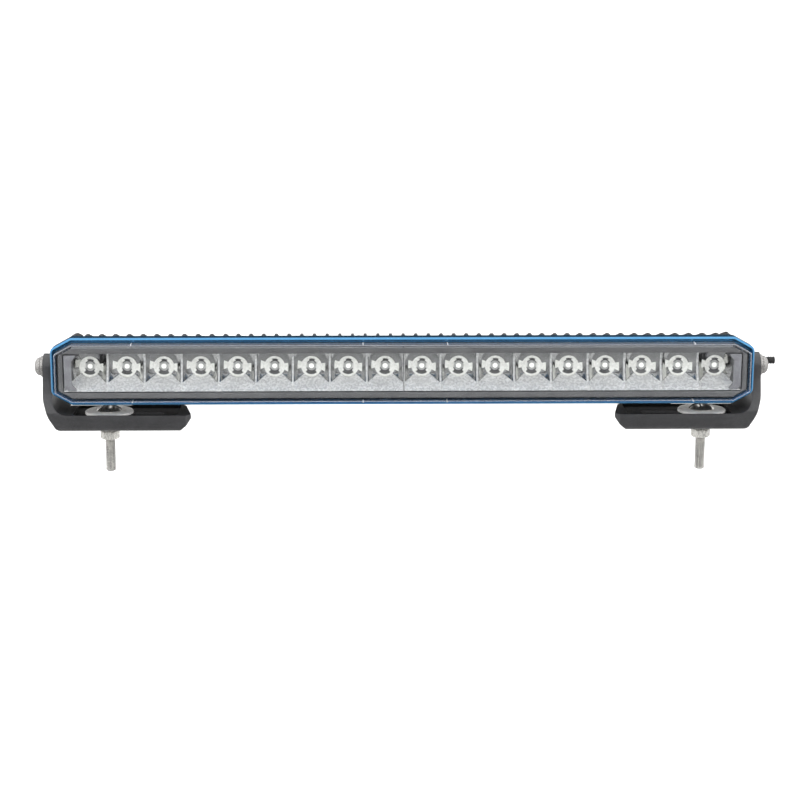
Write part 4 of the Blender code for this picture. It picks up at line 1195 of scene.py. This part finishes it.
def make_pivot(side):
    """Button-head bolt with a hexagon socket, its washer and its spacer."""
    matrix = Matrix.Translation(AXIS) @ OUTWARDS[SIDES[side]]

    def along(part):
        return sorted(abs(corner.x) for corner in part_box(f"{side}_{part}"))

    tip, crown = along("pivot_bolt")
    washer = along("pivot_washer")
    head = washer[1] + GAP
    button = 7.0 * MM
    socket = 2.5 * MM
    floor = crown - 2.5 * MM
    flat = math.radians(32)  # where the button's crown turns flat
    rim = head + 0.8 * MM
    profile = [
        (socket * 0.25, floor - 0.25 * MM),
        (socket, floor, hexagon),
        (socket, crown - 0.25 * MM, hexagon),
        (socket + 0.3 * MM, crown, hexagon),
        (3.7 * MM, crown),
    ]
    for step in range(1, 7):
        angle = math.radians(32 + 58 * step / 6)
        height = (crown - rim) * math.cos(angle) / math.cos(flat)
        profile.append((button * math.sin(angle), rim + height))
    profile += [
        (button, head + 0.3 * MM),
        (button - 0.3 * MM, head),
        (M8_SHANK, head),
        (M8_SHANK, head - 8 * MM),
    ]
    loops = lathe(profile) + thread_loops(head - 8.2 * MM, tip + 1.0 * MM)
    loops += lathe([(M8_TIP, tip)])
    node = f"{side}_pivot_bolt"
    stack(f"button_bolt_{side}", loops, "lamp", STEEL_PAINTED_SHADE, node, matrix)
    loops = washer_loops(M8_BORE, M8_WASHER, *washer, 0.25 * MM)
    node = f"{side}_pivot_washer"
    name = f"button_washer_{side}"
    stack(name, loops, "lamp", STEEL_PAINTED_SHADE, node, matrix, ring=True)
    loops = washer_loops(M8_BORE, 9.5 * MM, *along("pivot_spacer"), 0.2 * MM)
    node = f"{side}_pivot_spacer"
    stack(f"nylon_spacer_{side}", loops, "lamp", NYLON, node, matrix, ring=True)


def make_ring_screws():
    for number in range(1, 9):
        node = f"ring_screw_{number}"
        low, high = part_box(node)
        centre = Vector(((low.x + high.x) / 2, 0, (low.z + high.z) / 2))
        head = high.y - 1.6 * MM
        profile = [
            (0.35 * MM, high.y - 0.9 * MM),
            (0.75 * MM, high.y - 0.9 * MM, hexagon),
            (0.78 * MM, high.y, hexagon),
            (1.45 * MM, high.y),
            (1.85 * MM, high.y - 0.35 * MM),
            (2.0 * MM, high.y - 0.8 * MM),
            (2.0 * MM, head),
            (0.8 * MM, head),
            (0.8 * MM, low.y + 0.3 * MM),
            (0.5 * MM, low.y),
        ]
        matrix = Matrix.Translation(centre) @ TO_Y
        loops = lathe(profile, 24)
        stack(f"case_screw_{number}", loops, "lamp", STEEL, node, matrix)


# ---------------------------------------------------------------- vent and gland


def make_vent():
    low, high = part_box("breather_vent")

    def grip(angle, radius):
        return radius - 0.25 * MM * (0.5 + 0.5 * math.cos(12 * angle))

    face = high.y - 2.8 * MM
    profile = [
        (0.6 * MM, high.y - 0.5 * MM),
        (2.4 * MM, high.y - 0.5 * MM),
        (2.7 * MM, high.y),
        (4.3 * MM, high.y, grip),
        (4.9 * MM, high.y - 0.6 * MM, grip),
        (5.2 * MM, high.y - 1.2 * MM, grip),
        (5.2 * MM, face + 0.3 * MM, grip),
        (4.9 * MM, face),
        (3.0 * MM, face),
        (3.0 * MM, low.y),
    ]
    matrix = Matrix.Translation(AXIS) @ TO_Y
    stack("vent_plug", lathe(profile), "lamp", NYLON, "breather_vent", matrix)


def make_gland():
    """The supply outlet: a gland with a hexagon, and a short ribbed boot."""
    low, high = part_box("cable_gland")
    boot_low, boot_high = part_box("gland_boot")
    matrix = Matrix.Translation((0, (low.y + high.y) / 2, AXIS.z)) @ TO_X
    flange = 267.1 * MM
    profile = [
        (2.3 * MM, high.x),
        (3.1 * MM, high.x),
        (3.4 * MM, high.x - 0.3 * MM),
        (3.4 * MM, flange + 8.0 * MM),
        (3.1 * MM, flange + 7.6 * MM),
        (3.1 * MM, flange + 6.4 * MM),
        (3.4 * MM, flange + 6.0 * MM),
        (3.4 * MM, flange + 1.7 * MM),
        (5.0 * MM, flange + 1.5 * MM, hexagon),
        (5.19 * MM, flange + 1.2 * MM, hexagon),
        (5.19 * MM, flange + 0.2 * MM, hexagon),
        (5.0 * MM, flange, hexagon),
        (3.4 * MM, flange),
        (3.4 * MM, low.x + 0.3 * MM),
        (3.1 * MM, low.x),
        (2.0 * MM, low.x),
    ]
    loops = lathe(profile)
    stack("gland_body", loops, "lamp", NYLON, "cable_gland", matrix, ring=True)
    ends = (1.4 * MM, 2.3 * MM, 2.6 * MM)
    ribs = [(ends[0], boot_high.x), (ends[1], boot_high.x)]
    for i in range(3):
        x = boot_high.x - 0.3 * MM - 1.9 * MM * i
        ribs += [
            (2.6 * MM, x),
            (2.9 * MM, x - 0.3 * MM),
            (2.9 * MM, x - 1.0 * MM),
            (2.6 * MM, x - 1.3 * MM),
        ]
    ribs += [(ends[2], boot_low.x), (ends[0], boot_low.x)]
    stack("lead_boot", lathe(ribs), "lamp", RUBBER, "gland_boot", matrix, ring=True)


# ---------------------------------------------------------------- brackets

ARM_INNER = 269.0 * MM
ARM_OUTER = 276.2 * MM
FOOT_INNER = 163.0 * MM
FOOT_HEIGHT = 12.4 * MM
FOOT_HALF_DEPTH = 20.6 * MM
CHANNEL_FLOOR = 9.7 * MM
OPEN_RIM = 11.5 * MM
CHANNEL = (173.0 * MM, 253.5 * MM, 18.9 * MM)  # ends and half depth
OPEN_PART = (212 * MM, 260 * MM, 10 * MM, 30 * MM)  # where the rear rim is lower
SLOT = (185.4 * MM, 242.0 * MM, 4.4 * MM)
BEYOND = 0.290  # past the brackets' outer sides


def make_bracket(side):
    """An arm with a rounded top and a foot with a channel and a slot, cut from three sides."""
    sign = SIDES[side]

    def sided(corners, steps):
        return rounded([(sign * u, v, *radius) for u, v, *radius in corners], steps)

    top = [
        (10 * MM * math.cos(a), AXIS.z + 10 * MM * math.sin(a))
        for a in (math.pi * i / 24 for i in range(25))
    ]
    front = [
        (-11.0 * MM, 38.0 * MM, 30 * MM),
        (-13.5 * MM, 26.0 * MM, 15 * MM),
        (-FOOT_HALF_DEPTH, 15.0 * MM, 4 * MM),
        (-FOOT_HALF_DEPTH, 0.0, 3 * MM),
    ]
    rear = [(-y, z, radius) for y, z, radius in reversed(front)]
    section = [
        (ARM_OUTER, AXIS.z + 12 * MM),
        (ARM_OUTER, 24 * MM, 20 * MM),
        (ARM_OUTER - 4.6 * MM, 10.5 * MM, 20 * MM),
        (ARM_OUTER - 11.3 * MM, 0.0, 6 * MM),
        (FOOT_INNER + 8.5 * MM, 0.0, 2 * MM),
        (FOOT_INNER + 3.5 * MM, 4.4 * MM, 8 * MM),
        (FOOT_INNER, 9.4 * MM, 2 * MM),
        (FOOT_INNER, FOOT_HEIGHT, 0.4 * MM),
        (ARM_INNER, FOOT_HEIGHT, 12 * MM),
        (ARM_INNER, AXIS.z + 12 * MM),
    ]
    plan = [
        (BEYOND, -FOOT_HALF_DEPTH),
        (FOOT_INNER + 3.5 * MM, -FOOT_HALF_DEPTH, 1.2 * MM),
        (FOOT_INNER, -16.0 * MM, 1.2 * MM),
        (FOOT_INNER + 6.0 * MM, 14.0 * MM, 2 * MM),
        (FOOT_INNER + 10.0 * MM, FOOT_HALF_DEPTH, 2 * MM),
        (BEYOND, FOOT_HALF_DEPTH),
    ]
    body = solid("bracket", "XZ", sided(section, 8), (-30 * MM, 30 * MM))
    arm = rounded(top + front + rear, 6)
    from_side = solid("from_side", "YZ", arm, sorted((sign * 0.15, sign * BEYOND)))
    from_above = solid("from_above", "XY", sided(plan, 5), (-5 * MM, 65 * MM))
    carve(body, "INTERSECT", from_side, from_above)

    def opening(ends, half_v, radius):
        return rectangle(*sorted(sign * u for u in ends), half_v, radius)

    hole_matrix = Matrix.Translation(AXIS) @ OUTWARDS[sign]
    channel_outline = opening(CHANNEL[:2], CHANNEL[2], 4 * MM)
    slot_outline = opening(SLOT[:2], SLOT[2], 4.3 * MM)
    low_u, high_u, low_v, high_v = OPEN_PART
    open_outline = sided([(low_u, low_v), (high_u, low_v), (high_u, high_v), (low_u, high_v)], 6)
    carve(
        body,
        "DIFFERENCE",
        solid("channel", "XY", channel_outline, (CHANNEL_FLOOR, 20 * MM)),
        solid("open_rim", "XY", open_outline, (OPEN_RIM, 20 * MM)),
        solid("slot", "XY", slot_outline, (-5 * MM, 15 * MM)),
        cylinder("hole", PIVOT_BORE, 262 * MM, 283 * MM, hole_matrix, 40),
    )
    bevelled(body, 0.55 * MM, 3, 32)
    body.name = f"slotted_bracket_{side}"
    # Faces in the channel get the near-black painted shade.
    shaded_faces = [int(in_channel(polygon.center)) for polygon in body.data.polygons]
    body.data.polygons.foreach_set("material_index", shaded_faces)
    return piece(body, "brackets", [BRACKET, CHANNEL_PAINTED_SHADE], [f"{side}_bracket"], 30)


def in_channel(point):
    """Whether a face's centre lies on the floor or the walls of a foot's channel."""
    inner, outer, half_depth = CHANNEL
    edge = 0.1 * MM
    return (
        inner - edge < abs(point.x) < outer + edge
        and abs(point.y) < half_depth + edge
        and CHANNEL_FLOOR - edge < point.z < FOOT_HEIGHT - 0.3 * MM
    )


# ---------------------------------------------------------------- pieces


make_housing()
make_ring()
make_lens()
make_mask()
for lamp_side in SIDES:
    make_reflector(lamp_side)
make_leds()
make_ring_screws()
make_vent()
make_gland()
for end in SIDES:
    make_pivot(end)
    make_bracket(end)
    make_mounting(end)

KEPT = {
    "lens_seal": SILICONE,
    "led_board_left": LED_BOARD,
    "led_board_right": LED_BOARD,
    "thermal_pad_left": PAD,
    "thermal_pad_right": PAD,
    "driver_board": DRIVER,
}
for node_name, look in KEPT.items():
    data = NODES[node_name].data
    data.materials.clear()
    data.materials.append(look)


# ---------------------------------------------------------------- stage, light and camera


TENT = 1.0
FLOOR_GLOW = 0.45
OPENING = 0.02
OPENING_EDGE = (0.84, 0.95)
OPENING_TOWARDS = (0.0, -0.972, -0.235)
FLOOR_Z = -0.55
FLOOR_END = 2.2
BACKDROP_CURVE = 1.2


def make_stage():
    """A pale floor that curves up into a backdrop, well below and behind the lamp."""
    profile = [(-4.0, FLOOR_Z), (FLOOR_END, FLOOR_Z)]
    for angle in right_angle(12)[1:]:
        y = FLOOR_END + BACKDROP_CURVE * math.sin(angle)
        profile.append((y, FLOOR_Z + BACKDROP_CURVE * (1 - math.cos(angle))))
    profile.append((FLOOR_END + BACKDROP_CURVE, 5.0))
    bm = bmesh.new()
    rows = [[bm.verts.new((x, y, z)) for y, z in profile] for x in (-6.0, 6.0)]
    for i in range(len(profile) - 1):
        bm.faces.new((rows[0][i], rows[1][i], rows[1][i + 1], rows[0][i + 1]))
    obj = to_object("studio_floor", bm)
    white = mottled(
        "studio_white",
        (2, 2),
        ((0.93, 0.93, 0.93), (0.95, 0.95, 0.95)),
        None,
        Roughness=0.9,
        Specular_IOR_Level=0.1,
        Emission_Color=(1.0, 1.0, 1.0, 1.0),
        Emission_Strength=0.22,
    )
    shade(obj, 60)
    obj.data.materials.append(white)
    obj.visible_glossy = False


def add_light(name, location, target, size, power):
    light = bpy.data.lights.new(name, "AREA")
    light.shape = "RECTANGLE"
    light.size, light.size_y = size
    light.energy = power
    obj = bpy.data.objects.new(name, light)
    obj.location = location
    obj.visible_glossy = False
    aim = Vector(target) - Vector(location)
    obj.rotation_euler = aim.to_track_quat("-Z", "Y").to_euler()
    bpy.context.scene.collection.objects.link(obj)


def make_world():
    """A light tent: white all round, dimmer below, with dark openings before and behind."""
    world = bpy.data.worlds.new("studio")
    bpy.context.scene.world = world
    world.use_nodes = True
    tree = world.node_tree
    tent = tree.nodes["Background"]
    where = add_node(tree, "ShaderNodeTexCoord").outputs["Generated"]
    facing = add_node(
        tree, "ShaderNodeVectorMath", where, OPENING_TOWARDS, operation="DOT_PRODUCT"
    )
    either_way = add_node(
        tree, "ShaderNodeMath", facing.outputs["Value"], operation="ABSOLUTE"
    )
    opening = add_node(tree, "ShaderNodeValToRGB", Fac=either_way.outputs[0])
    set_stops(opening, list(zip(OPENING_EDGE, ((TENT,) * 3, (OPENING,) * 3))))
    height = add_node(tree, "ShaderNodeSeparateXYZ", where).outputs["Z"]
    glow = add_node(
        tree,
        "ShaderNodeMapRange",
        Value=height,
        From_Min=-0.6,
        From_Max=0.3,
        To_Min=FLOOR_GLOW,
        To_Max=1.0,
    )
    tree.links.new(glow.outputs[0], tent.inputs["Strength"])
    tree.links.new(opening.outputs["Color"], tent.inputs["Color"])
    seen = add_node(tree, "ShaderNodeBackground", Color=(1.0, 1.0, 1.0, 1.0))
    ray = add_node(tree, "ShaderNodeLightPath").outputs["Is Camera Ray"]
    pick = add_node(tree, "ShaderNodeMixShader", ray, tent.outputs[0], seen.outputs[0])
    tree.links.new(pick.outputs[0], tree.nodes["World Output"].inputs["Surface"])


def make_camera():
    camera = bpy.data.cameras.new("camera")
    camera.sensor_width = 36.0
    camera.clip_start = 0.05
    distance = 1.457
    camera.lens = 84.42
    obj = bpy.data.objects.new("camera", camera)
    target = Vector((-2.3 * MM, 0, 19.6 * MM))
    elevation = math.radians(12.5)
    azimuth = math.radians(-1.38)
    away = Vector(
        (
            math.cos(elevation) * math.sin(azimuth),
            -math.cos(elevation) * math.cos(azimuth),
            math.sin(elevation),
        )
    )
    obj.location = target + away * distance
    look = (-away).to_track_quat("-Z", "Y").to_matrix()
    roll = Matrix.Rotation(math.radians(0.13), 3, "Z")
    obj.rotation_euler = (look @ roll).to_euler()
    bpy.context.scene.collection.objects.link(obj)
    bpy.context.scene.camera = obj


make_stage()
make_world()
make_camera()
LIGHTS = (
    ("top_softbox", (0.0, -0.25, 1.3), (1.8, 0.9), 26),
    ("left_softbox", (-1.5, -0.7, 0.7), (0.8, 1.0), 10),
    ("right_softbox", (1.5, -0.7, 0.7), (0.8, 1.0), 8),
    ("front_fill", (0.0, -2.2, 0.9), (2.5, 1.2), 34),
)
for light_name, place_of, light_size, power in LIGHTS:
    add_light(light_name, place_of, (0, 0, 0.04), light_size, power)
bpy.context.scene.view_settings.view_transform = "Standard"
